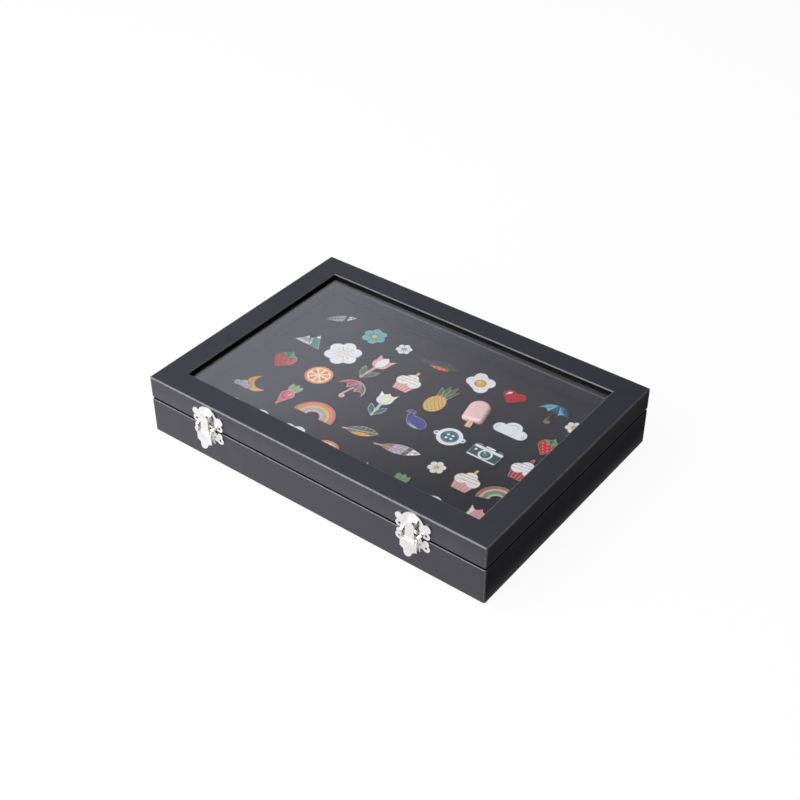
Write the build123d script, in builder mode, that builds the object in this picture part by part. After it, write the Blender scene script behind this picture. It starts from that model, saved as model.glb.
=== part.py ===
"""Display case for enamel pins: a covered board box, a glazed lid, two duck-bill clasps and a padded felt bed.

Millimetres. +X runs along the front, -Y is the front with the clasps, +Z is up. The origin is the centre of the
underside. Clasp sizes are given as "out" (away from the case's face) and "up" (above the seam).
"""

import os
from math import acos, ceil, cos, pi, sin

from build123d import *

os.makedirs("parts", exist_ok=True)

# ---- Case ----
case_length = 300.0
case_depth = 210.0
case_height = 50.0
seam_height = 31.0  # middle of the gap between base and lid
seam_gap = 0.3
wall = 8.0  # board thickness
skin = 0.8  # leatherette
corner_round = 1.4
edge_round = 1.0
foot_chamfer = 0.5
sheet_thickness = 0.6  # underside sheet
sheet_inset = 2.0
floor_thickness = 3.0

# ---- Lid frame and glass ----
frame_width = 20.0  # from the case's side to the window
recess = 3.0  # glass below the top face
rail_thickness = 6.0
glass_thickness = 2.0
glass_seat = 4.0  # how far the glass reaches under the rails
glass_clearance = 0.2
window_round = 0.5

# ---- Pad and pins ----
foam_thickness = 15.9
felt_thickness = 1.2
felt_side = 1.0
felt_round = 0.9
pad_clearance = 0.2
pin_thickness = 1.5
puffed_thickness = 3.4
puffed_round = 1.3
post_radius = 0.55
post_length = 8.0
pin_sag = 0.15  # how far a facet may stray from a pin's round outline
lens_facets = 6
post_sides = 6
pin_columns = 8
pin_rows = 5
pin_margin_x = 29.6  # from the pad's end to the outer columns
pin_margin_y = 28.6
pins_shift_y = -1.3

# ---- Hinges ----
fine_sag = 0.03  # how far a facet may stray on barrels, bores, rivets and link pins
hinge_end = 60.0  # from the case's side to a hinge's middle
hinge_width = 24.0
hinge_leaf_height = 11.0
hinge_leaf_thickness = 0.8
hinge_leaf_round = 2.5
barrel_out = 1.7  # hinge axis behind the back face
barrel_radius = 1.5
hinge_pin_radius = 0.8
lid_knuckle = 9.6  # length of the middle knuckle
knuckle_gap = 0.2
leaf_cutback = 1.9  # the other leaf's knuckle turns in this
stop_angle = 50.0  # each stop tab's contact face, above or below level
stop_slack = 0.7  # degrees left at the end of the lid's travel
stop_reach = 3.4
stop_thickness = 0.8
stop_root = 1.2
hinge_nail_radius = 0.8
hinge_nail_spacing = 15.0

# ---- Clasps ----
clasp_end = 58.0  # from the case's side to a clasp's middle
plate = 0.7
fixed_fit = 0.02  # radial clearance of a riveted or peened pin
running_fit = 0.06
keeper_base = 0.7  # keeper plate's lower edge above the seam
keeper_top = 17.9
keeper_dome_radius = 9.4
keeper_lobe_x = 11.2
keeper_lobe_up = 9.6
keeper_lobe_radius = 3.4
keeper_foot_radius = 3.2
nail_x = 11.0
keeper_nail_up = 3.7
nail_radius = 0.9
catch_half = 3.5
catch_up = 11.4
catch_out = 3.2
catch_lip = 1.2
foot_nail_up = -7.3
foot_lobe_radius = 3.3
foot_shoulder_up = -3.2
foot_shoulder_radius = 2.5
foot_bottom = -10.4
foot_half = 8.1
ear_inner = 7.3
ear_thickness = 0.8
ear_round = 1.9
ear_root_out = 3.0
lever_out = 3.0  # rivet axis
lever_up = 2.0
rivet_radius = 0.7
rivet_head_radius = 1.2
rivet_head = 0.4
rivet_reach = 1.2  # inside the cheek
lever_half = 7.0
cheek_thickness = 0.8
cheek_round = 1.7
cheek_bottom = -11.0
face_inner = 4.8
face_thickness = 0.8
face_top = -3.1
flare_start = -8.5
tongue_tip = -15.4
tongue_flare = 1.5
tongue_tip_radius = 3.6
tongue_corner = -10.0
link_pin_radius = 0.6
link_pin_out = 3.2
link_pin_up = -2.0
link_half = 3.7
link_thickness = 0.8
link_eye_radius = 1.2
link_top = 12.9
link_corner = 3.0

# ---- Derived ----
board_out_x = case_length / 2 - skin
board_out_y = case_depth / 2 - skin
board_in_x = board_out_x - wall
board_in_y = board_out_y - wall
lining_x = board_in_x - skin
lining_y = board_in_y - skin
base_rim = seam_height - seam_gap / 2
lid_rim = seam_height + seam_gap / 2
floor_top = sheet_thickness + floor_thickness
rail_top = case_height - skin
rail_bottom = rail_top - rail_thickness
window_x = case_length / 2 - frame_width
window_y = case_depth / 2 - frame_width
rail_in_x = window_x + skin
rail_in_y = window_y + skin
glass_top = case_height - recess
glass_bottom = glass_top - glass_thickness
rabbet_x = rail_in_x + glass_seat
rabbet_y = rail_in_y + glass_seat
felt_x = lining_x - pad_clearance
felt_y = lining_y - pad_clearance
foam_top = floor_top + foam_thickness
felt_top = foam_top + felt_thickness
pin_pitch_x = 2 * (felt_x - pin_margin_x) / (pin_columns - 1)
pin_pitch_y = 2 * (felt_y - pin_margin_y) / (pin_rows - 1)
front = -case_depth / 2
back = case_depth / 2
hinge_x = case_length / 2 - hinge_end
clasp_x = case_length / 2 - clasp_end


def save(piece, name):
    """Labels a finished piece and writes it."""
    piece.part.label = name
    export_step(piece.part, f"parts/{name}.step")


def slab(half_x, half_y, bottom, top, mode=Mode.ADD):
    """A centred block between two heights."""
    with BuildSketch(Plane.XY.offset(bottom)) as footprint:
        Rectangle(2 * half_x, 2 * half_y)
    extrude(footprint.sketch, amount=top - bottom, mode=mode)


def ring(outer, inner, bottom, top, mode):
    """A centred rectangular ring between two heights, from (half_x, half_y) pairs."""
    with BuildSketch(Plane.XY.offset(bottom)) as footprint:
        Rectangle(2 * outer[0], 2 * outer[1])
        Rectangle(2 * inner[0], 2 * inner[1], mode=Mode.SUBTRACT)
    extrude(footprint.sketch, amount=top - bottom, mode=mode)


def facets(radius, sag):
    """The sides of a regular polygon that strays no further than the sag from its circle."""
    return ceil(pi / acos(1 - sag / radius))


def disc(radius, sag, mode=Mode.ADD):
    """A small round of few facets, drawn inside its circle."""
    RegularPolygon(radius, facets(radius, sag), mode=mode)


def bore(radius, mode=Mode.SUBTRACT):
    """A small round hole of few facets, drawn outside its circle."""
    RegularPolygon(radius, facets(radius, fine_sag), major_radius=False, mode=mode)


sides = {
    "front": (0, 1),
    "right": (90, 0),
    "back": (180, 1),
    "left": (270, 0),
}


def side_plane(side, height):
    """A level plane whose -Y points out of one side of the case."""
    turn = sides[side][0]
    return Plane.XY.rotated((0, 0, turn)).offset(height)


def mitred(side, outer, width, bottom, top):
    """A board along one side with 45 degree ends, from the (half_x, half_y) of its outer corners."""
    lengthwise = sides[side][1]
    half, reach = outer if lengthwise else outer[::-1]
    with BuildSketch(side_plane(side, bottom)) as footprint:
        Polygon(
            (-half, -reach),
            (half, -reach),
            (half - width, width - reach),
            (width - half, width - reach),
            align=None,
        )
    extrude(footprint.sketch, amount=top - bottom)


# ---- Base ----
for side in sides:
    with BuildPart() as base_wall:
        mitred(side, (board_out_x, board_out_y), wall, sheet_thickness + skin, base_rim - skin)
    save(base_wall, f"base_wall_{side}")

with BuildPart() as base_floor:
    slab(board_in_x, board_in_y, sheet_thickness, floor_top)
save(base_floor, "base_floor")

with BuildPart() as base_wrap:
    slab(case_length / 2, case_depth / 2, sheet_thickness, base_rim)
    fillet(base_wrap.edges().filter_by(Axis.Z), corner_round)
    fillet(base_wrap.faces().sort_by(Axis.Z)[-1].edges(), edge_round)
    chamfer(base_wrap.faces().sort_by(Axis.Z)[0].edges(), foot_chamfer)
    ring(
        (board_out_x, board_out_y),
        (board_in_x, board_in_y),
        sheet_thickness + skin,
        base_rim - skin,
        Mode.SUBTRACT,
    )
    slab(board_in_x, board_in_y, sheet_thickness, floor_top, Mode.SUBTRACT)
    slab(lining_x, lining_y, floor_top, base_rim, Mode.SUBTRACT)
save(base_wrap, "base_wrap")

with BuildPart() as base_underside_sheet:
    slab(case_length / 2 - sheet_inset, case_depth / 2 - sheet_inset, 0, sheet_thickness)
save(base_underside_sheet, "base_underside_sheet")

# ---- Pad ----
with BuildPart() as foam_pad:
    slab(felt_x - felt_side, felt_y - felt_side, floor_top, foam_top)
save(foam_pad, "foam_pad")

with BuildPart() as felt_cover:
    slab(felt_x, felt_y, floor_top, felt_top)
    fillet(felt_cover.faces().sort_by(Axis.Z)[-1].edges(), felt_round)
    slab(felt_x - felt_side, felt_y - felt_side, floor_top, foam_top, Mode.SUBTRACT)
save(felt_cover, "felt_cover")


# ---- Enamel pins: outlines of their plates, each sized by its own width or height ----
def oval(radius_x, radius_y):
    """An ellipse."""
    corners = facets(max(radius_x, radius_y), pin_sag)
    turns = [2 * pi * corner / corners for corner in range(corners)]
    Polygon(*[(radius_x * cos(turn), radius_y * sin(turn)) for turn in turns], align=None)


def lens(length, breadth):
    """A pointed oval, each side a parabola."""
    side = [2 * i / lens_facets - 1 for i in range(lens_facets)]
    rim = [(t * length / 2, (1 - t * t) * breadth / 2) for t in side]
    Polygon(*rim, *[(-x, -y) for x, y in rim], align=None)


def feather(w):
    lens(0.9 * w, 0.3 * w)
    with Locations((-0.45 * w, 0)):
        Rectangle(0.24 * w, 0.05 * w)


def leaf(w):
    lens(0.9 * w, 0.38 * w)
    with Locations((-0.45 * w, 0)):
        Rectangle(0.16 * w, 0.06 * w)


def daisy(w):
    with PolarLocations(0.3 * w, 6, start_angle=90):
        disc(0.2 * w, pin_sag)
    disc(0.24 * w, pin_sag)


def egg(w):
    disc(0.38 * w, pin_sag)
    with Locations((0.22 * w, 0.12 * w), (0.16 * w, -0.22 * w)):
        disc(0.26 * w, pin_sag)
    with Locations((-0.14 * w, 0.26 * w), (-0.25 * w, -0.04 * w)):
        disc(0.24 * w, pin_sag)


def heart(w):
    with Locations((-0.23 * w, 0.14 * w), (0.23 * w, 0.14 * w)):
        disc(0.27 * w, pin_sag)
    Polygon((-0.45 * w, 0), (0, -0.46 * w), (0.45 * w, 0), (0, 0.28 * w), align=None)


def umbrella(w):
    disc(0.5 * w, pin_sag)
    with Locations((0, -0.5 * w)):
        Rectangle(1.1 * w, w, mode=Mode.SUBTRACT)
    with Locations((-0.33 * w, 0), (0, 0), (0.33 * w, 0)):
        disc(0.15 * w, pin_sag, mode=Mode.SUBTRACT)
    with Locations((0, -0.06 * w)):
        Rectangle(0.07 * w, 0.62 * w)
    with Locations((0.07 * w, -0.36 * w)):
        disc(0.1 * w, pin_sag)


def mountain(w):
    Polygon(
        (-0.5 * w, -0.3 * w),
        (-0.2 * w, 0.14 * w),
        (-0.1 * w, 0.03 * w),
        (0.1 * w, 0.34 * w),
        (0.5 * w, -0.3 * w),
        align=None,
    )


def tulip(h):
    with Locations((0, 0.22 * h)):
        disc(0.22 * h, pin_sag)
    Polygon(
        (-0.19 * h, 0.2 * h),
        (-0.25 * h, 0.5 * h),
        (-0.1 * h, 0.38 * h),
        (0, 0.5 * h),
        (0.1 * h, 0.38 * h),
        (0.25 * h, 0.5 * h),
        (0.19 * h, 0.2 * h),
        align=None,
    )
    with Locations((0, -0.2 * h)):
        Rectangle(0.08 * h, 0.6 * h)
    with Locations(Location((-0.12 * h, -0.26 * h), 118), Location((0.12 * h, -0.26 * h), 62)):
        lens(0.44 * h, 0.17 * h)


def cupcake(w):
    with Locations((-0.22 * w, 0.06 * w), (0.22 * w, 0.06 * w), (0, 0.26 * w)):
        disc(0.26 * w, pin_sag)
    Polygon((-0.42 * w, 0), (0.42 * w, 0), (0.28 * w, -0.5 * w), (-0.28 * w, -0.5 * w), align=None)
    with Locations((0, 0.58 * w)):
        Rectangle(0.12 * w, 0.26 * w)


def pineapple(h):
    with Locations((0, -0.22 * h)):
        oval(0.21 * h, 0.28 * h)
    Polygon(
        (-0.12 * h, 0),
        (-0.2 * h, 0.32 * h),
        (-0.09 * h, 0.24 * h),
        (-0.06 * h, 0.44 * h),
        (0.02 * h, 0.3 * h),
        (0.1 * h, 0.5 * h),
        (0.12 * h, 0.26 * h),
        (0.21 * h, 0.36 * h),
        (0.12 * h, 0),
        align=None,
    )


def cloud(w):
    with Locations((0, 0.08 * w)):
        disc(0.26 * w, pin_sag)
    with Locations((-0.3 * w, -0.06 * w), (0.3 * w, -0.06 * w)):
        disc(0.2 * w, pin_sag)
    with Locations((0, -0.14 * w)):
        Rectangle(0.6 * w, 0.24 * w)


def strawberry(h):
    with Locations((-0.1 * h, 0.04 * h), (0.1 * h, 0.04 * h)):
        disc(0.28 * h, pin_sag)
    Polygon((-0.34 * h, -0.1 * h), (0, -0.5 * h), (0.34 * h, -0.1 * h), (0, 0.1 * h), align=None)
    Polygon(
        (-0.32 * h, 0.26 * h),
        (-0.1 * h, 0.36 * h),
        (0, 0.5 * h),
        (0.1 * h, 0.36 * h),
        (0.32 * h, 0.26 * h),
        (0, 0.1 * h),
        align=None,
    )


def citrus(w):
    disc(0.5 * w, pin_sag)


def whale(w):
    with Locations((0.12 * w, -0.04 * w)):
        oval(0.37 * w, 0.26 * w)
    Polygon((-0.14 * w, 0.16 * w), (-0.4 * w, 0.24 * w), (-0.36 * w, 0), (-0.12 * w, -0.2 * w), align=None)
    with Locations(Location((-0.44 * w, 0.2 * w), 60), Location((-0.34 * w, 0.26 * w), 5)):
        lens(0.26 * w, 0.13 * w)


def button(w):
    disc(0.42 * w, pin_sag)
    with Locations((-0.42 * w, 0), (0.42 * w, 0)):
        disc(0.12 * w, pin_sag)


def camera(w):
    with Locations((0, -0.04 * w)):
        Rectangle(w, 0.56 * w)
    with Locations((0, 0.28 * w)):
        Rectangle(0.34 * w, 0.1 * w)
    with Locations((-0.36 * w, 0.27 * w), (0.36 * w, 0.27 * w)):
        Rectangle(0.14 * w, 0.08 * w)


def moon(w):
    with Locations((0.16 * w, 0.02 * w)):
        disc(0.34 * w, pin_sag)
    with Locations((0.32 * w, 0.16 * w)):
        disc(0.3 * w, pin_sag, mode=Mode.SUBTRACT)
    with Locations((-0.32 * w, -0.24 * w), (-0.16 * w, -0.16 * w), (0, -0.24 * w)):
        disc(0.12 * w, pin_sag)
    with Locations((-0.16 * w, -0.27 * w)):
        Rectangle(0.44 * w, 0.14 * w)


def radish(h):
    disc(0.2 * h, pin_sag)
    Polygon((-0.16 * h, -0.1 * h), (0, -0.5 * h), (0.16 * h, -0.1 * h), (0, 0.1 * h), align=None)
    with Locations(
        Location((-0.1 * h, 0.3 * h), 110), Location((0, 0.32 * h), 90), Location((0.1 * h, 0.3 * h), 70)
    ):
        lens(0.38 * h, 0.18 * h)


def rainbow(w):
    with Locations((0, -0.25 * w)):
        disc(0.5 * w, pin_sag)
        disc(0.16 * w, pin_sag, mode=Mode.SUBTRACT)
    with Locations((0, -0.75 * w)):
        Rectangle(1.1 * w, w, mode=Mode.SUBTRACT)


def lolly_stick(h):
    with Locations((0, -0.36 * h)):
        RectangleRounded(0.15 * h, 0.28 * h, 0.06 * h)


def lolly_ice(h):
    with Locations((0, 0.22 * h)):
        disc(0.27 * h, pin_sag)
    with Locations((0, -0.02 * h)):
        Rectangle(0.52 * h, 0.48 * h)


# Each pin is (column, row, turn in degrees, width or height); columns and rows count from the back left.
pin_kinds = {
    "feather": (feather, [(0, -0.1, 38, 29), (4.38, 3, 16, 36)]),
    "daisy": (
        daisy,
        [(1.17, 0, 20, 21), (2.1, 0, 0, 14), (7.1, 0.1, 0, 14), (1, 1, 8, 30), (5.4, 3, 0, 14)],
    ),
    "leaf": (leaf, [(3.25, 0, 8, 31), (3.28, 3, 20, 29)]),
    "egg": (egg, [(4.4, 0, 0, 24), (2, 4, 30, 22)]),
    "heart": (heart, [(5.35, 0, 0, 19), (0, 4, 0, 19)]),
    "umbrella": (umbrella, [(6.42, 0, 0, 26), (2.05, 2, -12, 25)]),
    "mountain": (mountain, [(0, 1, 0, 25), (4, 4, 0, 25)]),
    "tulip": (tulip, [(2, 1, -6, 33), (3, 2, 8, 30), (7, 4, 0, 34)]),
    "cupcake": (cupcake, [(3, 1, 0, 22), (7, 2, 0, 21), (6.2, 3, 0, 21)]),
    "pineapple": (pineapple, [(4, 1, 0, 38)]),
    "cloud": (cloud, [(6, 1, 0, 28), (1, 4, 0, 26), (6, 4, 0, 26)]),
    "strawberry": (strawberry, [(0, 2, 0, 25), (7, 1, 0, 22)]),
    "citrus": (citrus, [(1.1, 2, 0, 22), (3, 4, 0, 22)]),
    "whale": (whale, [(4, 2, -12, 24)]),
    "button": (button, [(5, 2, 8, 24)]),
    "camera": (camera, [(6, 2, 0, 24)]),
    "moon": (moon, [(0, 3.1, 0, 29)]),
    "radish": (radish, [(1, 3, 0, 28), (5, 4, 0, 28)]),
    "rainbow": (rainbow, [(2, 3, 0, 35), (7, 2.9, 18, 30)]),
}
lolly_places = [(5, 1, 12, 34)]


def pin_plane(column, row, turn):
    """The felt's surface where a pin lies, turned to the pin."""
    x = (column - (pin_columns - 1) / 2) * pin_pitch_x
    y = ((pin_rows - 1) / 2 - row) * pin_pitch_y + pins_shift_y
    return Plane(Location((x, y, felt_top), (0, 0, turn)))


def add_post(place):
    """The needle behind a pin, pushed down into the pad."""
    with BuildSketch(place) as section:
        RegularPolygon(post_radius, post_sides)
    extrude(section.sketch, amount=-post_length)


for kind, (outline, places) in pin_kinds.items():
    with BuildPart() as pin:
        for column, row, turn, size in places:
            place = pin_plane(column, row, turn)
            with BuildSketch(place):
                outline(size)
            extrude(amount=pin_thickness)
            add_post(place)
    save(pin, f"pin_{kind}")

with BuildPart() as pin_lolly:
    for column, row, turn, size in lolly_places:
        place = pin_plane(column, row, turn)
        with BuildSketch(place):
            lolly_ice(size)
        extrude(amount=puffed_thickness)
        chamfer(pin_lolly.faces().sort_by(Axis.Z)[-1].edges(), puffed_round)
        with BuildSketch(place):
            lolly_stick(size)
        extrude(amount=pin_thickness)
        add_post(place)
save(pin_lolly, "pin_lolly")

# ---- Lid ----
for side in sides:
    with BuildPart() as lid_wall:
        mitred(side, (board_out_x, board_out_y), wall, lid_rim + skin, rail_bottom)
    save(lid_wall, f"lid_wall_{side}")

    with BuildPart() as lid_rail:
        mitred(side, (board_out_x, board_out_y), board_out_x - rail_in_x, glass_top, rail_top)
        mitred(side, (board_out_x, board_out_y), board_out_x - rabbet_x, rail_bottom, glass_top)
    save(lid_rail, f"lid_rail_{side}")

with BuildPart() as lid_wrap:
    slab(case_length / 2, case_depth / 2, lid_rim, case_height)
    fillet(lid_wrap.edges().filter_by(Axis.Z), corner_round)
    fillet(lid_wrap.faces().sort_by(Axis.Z)[-1].edges(), edge_round)
    fillet(lid_wrap.faces().sort_by(Axis.Z)[0].edges(), edge_round)
    slab(window_x, window_y, glass_top, case_height, Mode.SUBTRACT)
    fillet(lid_wrap.faces().sort_by(Axis.Z)[-1].inner_wires().edges(), window_round)
    ring(
        (board_out_x, board_out_y), (board_in_x, board_in_y), lid_rim + skin, rail_bottom, Mode.SUBTRACT
    )
    ring((board_out_x, board_out_y), (rail_in_x, rail_in_y), rail_bottom, rail_top, Mode.SUBTRACT)
    slab(rail_in_x, rail_in_y, rail_bottom, glass_top, Mode.SUBTRACT)
    slab(lining_x, lining_y, lid_rim, rail_bottom, Mode.SUBTRACT)
save(lid_wrap, "lid_wrap")

with BuildPart() as glass_pane:
    slab(rabbet_x - glass_clearance, rabbet_y - glass_clearance, glass_bottom, glass_top)
save(glass_pane, "glass_pane")

for length, pair_of_sides in (("long", ("front", "back")), ("short", ("left", "right"))):
    with BuildPart() as glass_beads:
        for side in pair_of_sides:
            mitred(side, (rabbet_x, rabbet_y), glass_seat, rail_bottom, glass_bottom)
    save(glass_beads, f"glass_beads_{length}")


# ---- Hinges ----
def back_plane(x):
    """The back face at the seam, seen from behind: its normal points away from the case."""
    return Plane(origin=(x, back, seam_height), x_dir=(-1, 0, 0), z_dir=(0, 1, 0))


def hinge_profile(x):
    """A plane across a hinge: its x is out of the back face, its y is up from the seam."""
    return Plane(origin=(x, back, seam_height), x_dir=(0, 1, 0), z_dir=(1, 0, 0))


def knuckle(x, length, upward):
    """A barrel about the hinge axis, with the strip that joins it to its leaf."""
    level = Align.MIN if upward else Align.MAX
    with BuildSketch(hinge_profile(x)) as section:
        with Locations((barrel_out, 0)):
            disc(barrel_radius, fine_sag)
        Rectangle(hinge_leaf_thickness, leaf_cutback, align=(Align.MIN, level))
        Rectangle(barrel_out - hinge_pin_radius, hinge_leaf_thickness, align=(Align.MIN, level))
    extrude(section.sketch, amount=length / 2, both=True)


def stop_tab(x, length, inner_radius, angle, upward):
    """A tab out of the barrel whose contact face lies along a radius."""
    with BuildSketch(hinge_profile(x)) as section:
        with Locations(Location((barrel_out, 0), angle)):
            with Locations((inner_radius, 0)):
                Rectangle(
                    stop_reach - inner_radius,
                    stop_thickness,
                    align=(Align.MIN, Align.MIN if upward else Align.MAX),
                )
    extrude(section.sketch, amount=length / 2, both=True)


def leaf_plate(x, upward):
    """A hinge leaf flat on the back face, with its two nail holes."""
    sign = 1 if upward else -1
    with BuildSketch(back_plane(x)) as outline:
        with Locations((0, sign * leaf_cutback)):
            Rectangle(
                hinge_width,
                hinge_leaf_height - leaf_cutback,
                align=(Align.CENTER, Align.MIN if upward else Align.MAX),
            )
        fillet(outline.vertices().group_by(Axis.Z)[-1 if upward else 0], hinge_leaf_round)
        with Locations((0, sign * (hinge_leaf_height + leaf_cutback) / 2)):
            with GridLocations(hinge_nail_spacing, 0, 2, 1):
                bore(hinge_nail_radius)
    extrude(outline.sketch, amount=hinge_leaf_thickness)


def hinge_bore(x, clearance):
    """The hole for the hinge pin through every knuckle of a leaf."""
    with BuildSketch(hinge_profile(x)) as section:
        with Locations((barrel_out, 0)):
            bore(hinge_pin_radius + clearance, mode=Mode.ADD)
    extrude(section.sketch, amount=hinge_width, both=True, mode=Mode.SUBTRACT)


side_knuckle = (hinge_width - lid_knuckle) / 2 - knuckle_gap
side_knuckle_x = hinge_width / 2 - side_knuckle / 2
middle_reach = barrel_radius + knuckle_gap

for end, x in (("left", -hinge_x), ("right", hinge_x)):
    with BuildPart() as base_leaf:
        leaf_plate(x, upward=False)
        for shift in (-side_knuckle_x, side_knuckle_x):
            knuckle(x + shift, side_knuckle, upward=False)
            stop_tab(x + shift, side_knuckle, stop_root, -stop_angle - stop_slack, upward=False)
        stop_tab(x, hinge_width, middle_reach, -stop_angle - stop_slack, upward=False)
        hinge_bore(x, fixed_fit)
    save(base_leaf, f"hinge_base_leaf_{end}")

    with BuildPart() as lid_leaf:
        leaf_plate(x, upward=True)
        knuckle(x, lid_knuckle, upward=True)
        stop_tab(x, lid_knuckle, stop_root, stop_angle, upward=True)
        hinge_bore(x, running_fit)
    save(lid_leaf, f"hinge_lid_leaf_{end}")

with BuildPart() as hinge_pins:
    for x in (-hinge_x, hinge_x):
        with BuildSketch(hinge_profile(x)):
            with Locations((barrel_out, 0)):
                Circle(hinge_pin_radius)
        extrude(amount=hinge_width / 2, both=True)
save(hinge_pins, "hinge_pins")


# ---- Clasps ----
def face_plane(x):
    """The front face at the seam: its x is +X, its y is up, its normal is out."""
    return Plane(origin=(x, front, seam_height), x_dir=(1, 0, 0), z_dir=(0, -1, 0))


def clasp_profile(x):
    """A plane across a clasp: its x is out of the front face, its y is up from the seam."""
    return Plane(origin=(x, front, seam_height), x_dir=(0, -1, 0), z_dir=(-1, 0, 0))


def pair(x, inner, thickness):
    """The two profile planes, left and right of a clasp's middle, of a pair of flanges."""
    return [clasp_profile(x + sign * (inner + thickness / 2)) for sign in (-1, 1)]


for end, x in (("left", -clasp_x), ("right", clasp_x)):
    with BuildPart() as keeper:
        with BuildSketch(face_plane(x)):
            with Locations((0, keeper_top - keeper_dome_radius)):
                Circle(keeper_dome_radius)
            with Locations((-keeper_lobe_x, keeper_lobe_up), (keeper_lobe_x, keeper_lobe_up)):
                Circle(keeper_lobe_radius)
            with Locations((-nail_x, keeper_nail_up), (nail_x, keeper_nail_up)):
                Circle(keeper_foot_radius)
            with Locations((0, keeper_base)):
                Rectangle(
                    2 * keeper_lobe_x, keeper_lobe_up - keeper_base, align=(Align.CENTER, Align.MIN)
                )
            with Locations((0, keeper_base)):
                Rectangle(
                    4 * keeper_lobe_x,
                    2 * keeper_foot_radius,
                    align=(Align.CENTER, Align.MAX),
                    mode=Mode.SUBTRACT,
                )
            with Locations((-nail_x, keeper_nail_up), (nail_x, keeper_nail_up)):
                bore(nail_radius)
        extrude(amount=plate)
        with BuildSketch(clasp_profile(x)):
            with Locations((0, catch_up)):
                Rectangle(catch_out, link_thickness, align=(Align.MIN, Align.MIN))
            with Locations((catch_out, catch_up)):
                Rectangle(link_thickness, link_thickness + catch_lip, align=(Align.MAX, Align.MIN))
        extrude(amount=catch_half, both=True)
    save(keeper, f"clasp_keeper_{end}")

    with BuildPart() as clasp_plate:
        with BuildSketch(face_plane(x)):
            with Locations((0, foot_bottom)):
                Rectangle(2 * foot_half, -keeper_base - foot_bottom, align=(Align.CENTER, Align.MIN))
            with Locations((-nail_x, foot_nail_up), (nail_x, foot_nail_up)):
                Circle(foot_lobe_radius)
            with Locations((-nail_x, foot_shoulder_up), (nail_x, foot_shoulder_up)):
                Circle(foot_shoulder_radius)
            with Locations((0, foot_nail_up)):
                Rectangle(2 * nail_x, foot_shoulder_up - foot_nail_up, align=(Align.CENTER, Align.MIN))
            with Locations((-nail_x, foot_nail_up), (nail_x, foot_nail_up)):
                bore(nail_radius)
        extrude(amount=plate)
        for plane in pair(x, ear_inner, ear_thickness):
            with BuildSketch(plane):
                Polygon(
                    (0, foot_bottom),
                    (ear_root_out, foot_bottom),
                    (lever_out + ear_round, lever_up),
                    (lever_out - ear_round, lever_up),
                    (lever_out - ear_round, -keeper_base),
                    (0, -keeper_base),
                    align=None,
                )
                with Locations((lever_out, lever_up)):
                    Circle(ear_round)
                with Locations((lever_out, lever_up)):
                    bore(rivet_radius + fixed_fit)
            extrude(amount=ear_thickness / 2, both=True)
    save(clasp_plate, f"clasp_plate_{end}")

    with BuildPart() as lever:
        with BuildSketch(clasp_profile(x)):
            with BuildLine():
                flare = ThreePointArc(
                    (face_inner, flare_start),
                    (face_inner + tongue_flare / 4, (flare_start + tongue_tip) / 2),
                    (face_inner + tongue_flare, tongue_tip),
                )
                Line(flare @ 1, (face_inner + face_thickness + tongue_flare, tongue_tip))
                front_flare = ThreePointArc(
                    (face_inner + face_thickness + tongue_flare, tongue_tip),
                    (face_inner + face_thickness + tongue_flare / 4, (flare_start + tongue_tip) / 2),
                    (face_inner + face_thickness, flare_start),
                )
                Line(front_flare @ 1, (face_inner + face_thickness, face_top))
                Line((face_inner + face_thickness, face_top), (face_inner, face_top))
                Line((face_inner, face_top), (face_inner, flare_start))
            make_face()
        extrude(amount=lever_half, both=True)
        with BuildSketch(face_plane(x).offset(face_inner - face_thickness)) as tongue:
            Polygon(
                (-lever_half, lever_up),
                (-lever_half, tongue_corner),
                (-tongue_tip_radius, tongue_tip + tongue_tip_radius),
                (tongue_tip_radius, tongue_tip + tongue_tip_radius),
                (lever_half, tongue_corner),
                (lever_half, lever_up),
                align=None,
            )
            with Locations((0, tongue_tip + tongue_tip_radius)):
                Circle(tongue_tip_radius)
        extrude(amount=2 * tongue_flare + 3 * face_thickness, mode=Mode.INTERSECT)
        for plane in pair(x, lever_half - cheek_thickness, cheek_thickness):
            with BuildSketch(plane):
                Polygon(
                    (lever_out - cheek_round, lever_up),
                    (lever_out - cheek_round, face_top),
                    (face_inner, cheek_bottom),
                    (face_inner + face_thickness / 2, cheek_bottom),
                    (face_inner + face_thickness, face_top),
                    (lever_out + cheek_round, lever_up),
                    align=None,
                )
                with Locations((lever_out, lever_up)):
                    Circle(cheek_round)
                with Locations((lever_out, lever_up)):
                    bore(rivet_radius + running_fit)
                with Locations((link_pin_out, link_pin_up)):
                    bore(link_pin_radius + fixed_fit)
            extrude(amount=cheek_thickness / 2, both=True)
    save(lever, f"clasp_lever_{end}")

    with BuildPart() as link_pin:
        with BuildSketch(clasp_profile(x)):
            with Locations((link_pin_out, link_pin_up)):
                disc(link_pin_radius, fine_sag)
        extrude(amount=lever_half, both=True)
    save(link_pin, f"clasp_link_pin_{end}")

    with BuildPart() as link:
        with BuildSketch(clasp_profile(x)):
            with Locations((link_pin_out + link_eye_radius, link_pin_up)):
                Rectangle(link_thickness, link_top - link_pin_up, align=(Align.MAX, Align.MIN))
            with Locations((link_pin_out, link_pin_up)):
                Circle(link_eye_radius)
                bore(link_pin_radius + running_fit)
        extrude(amount=link_half, both=True)
        fillet(link.edges().filter_by(Axis.Y).group_by(Axis.Z)[-1], link_corner)
    save(link, f"clasp_link_{end}")

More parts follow.
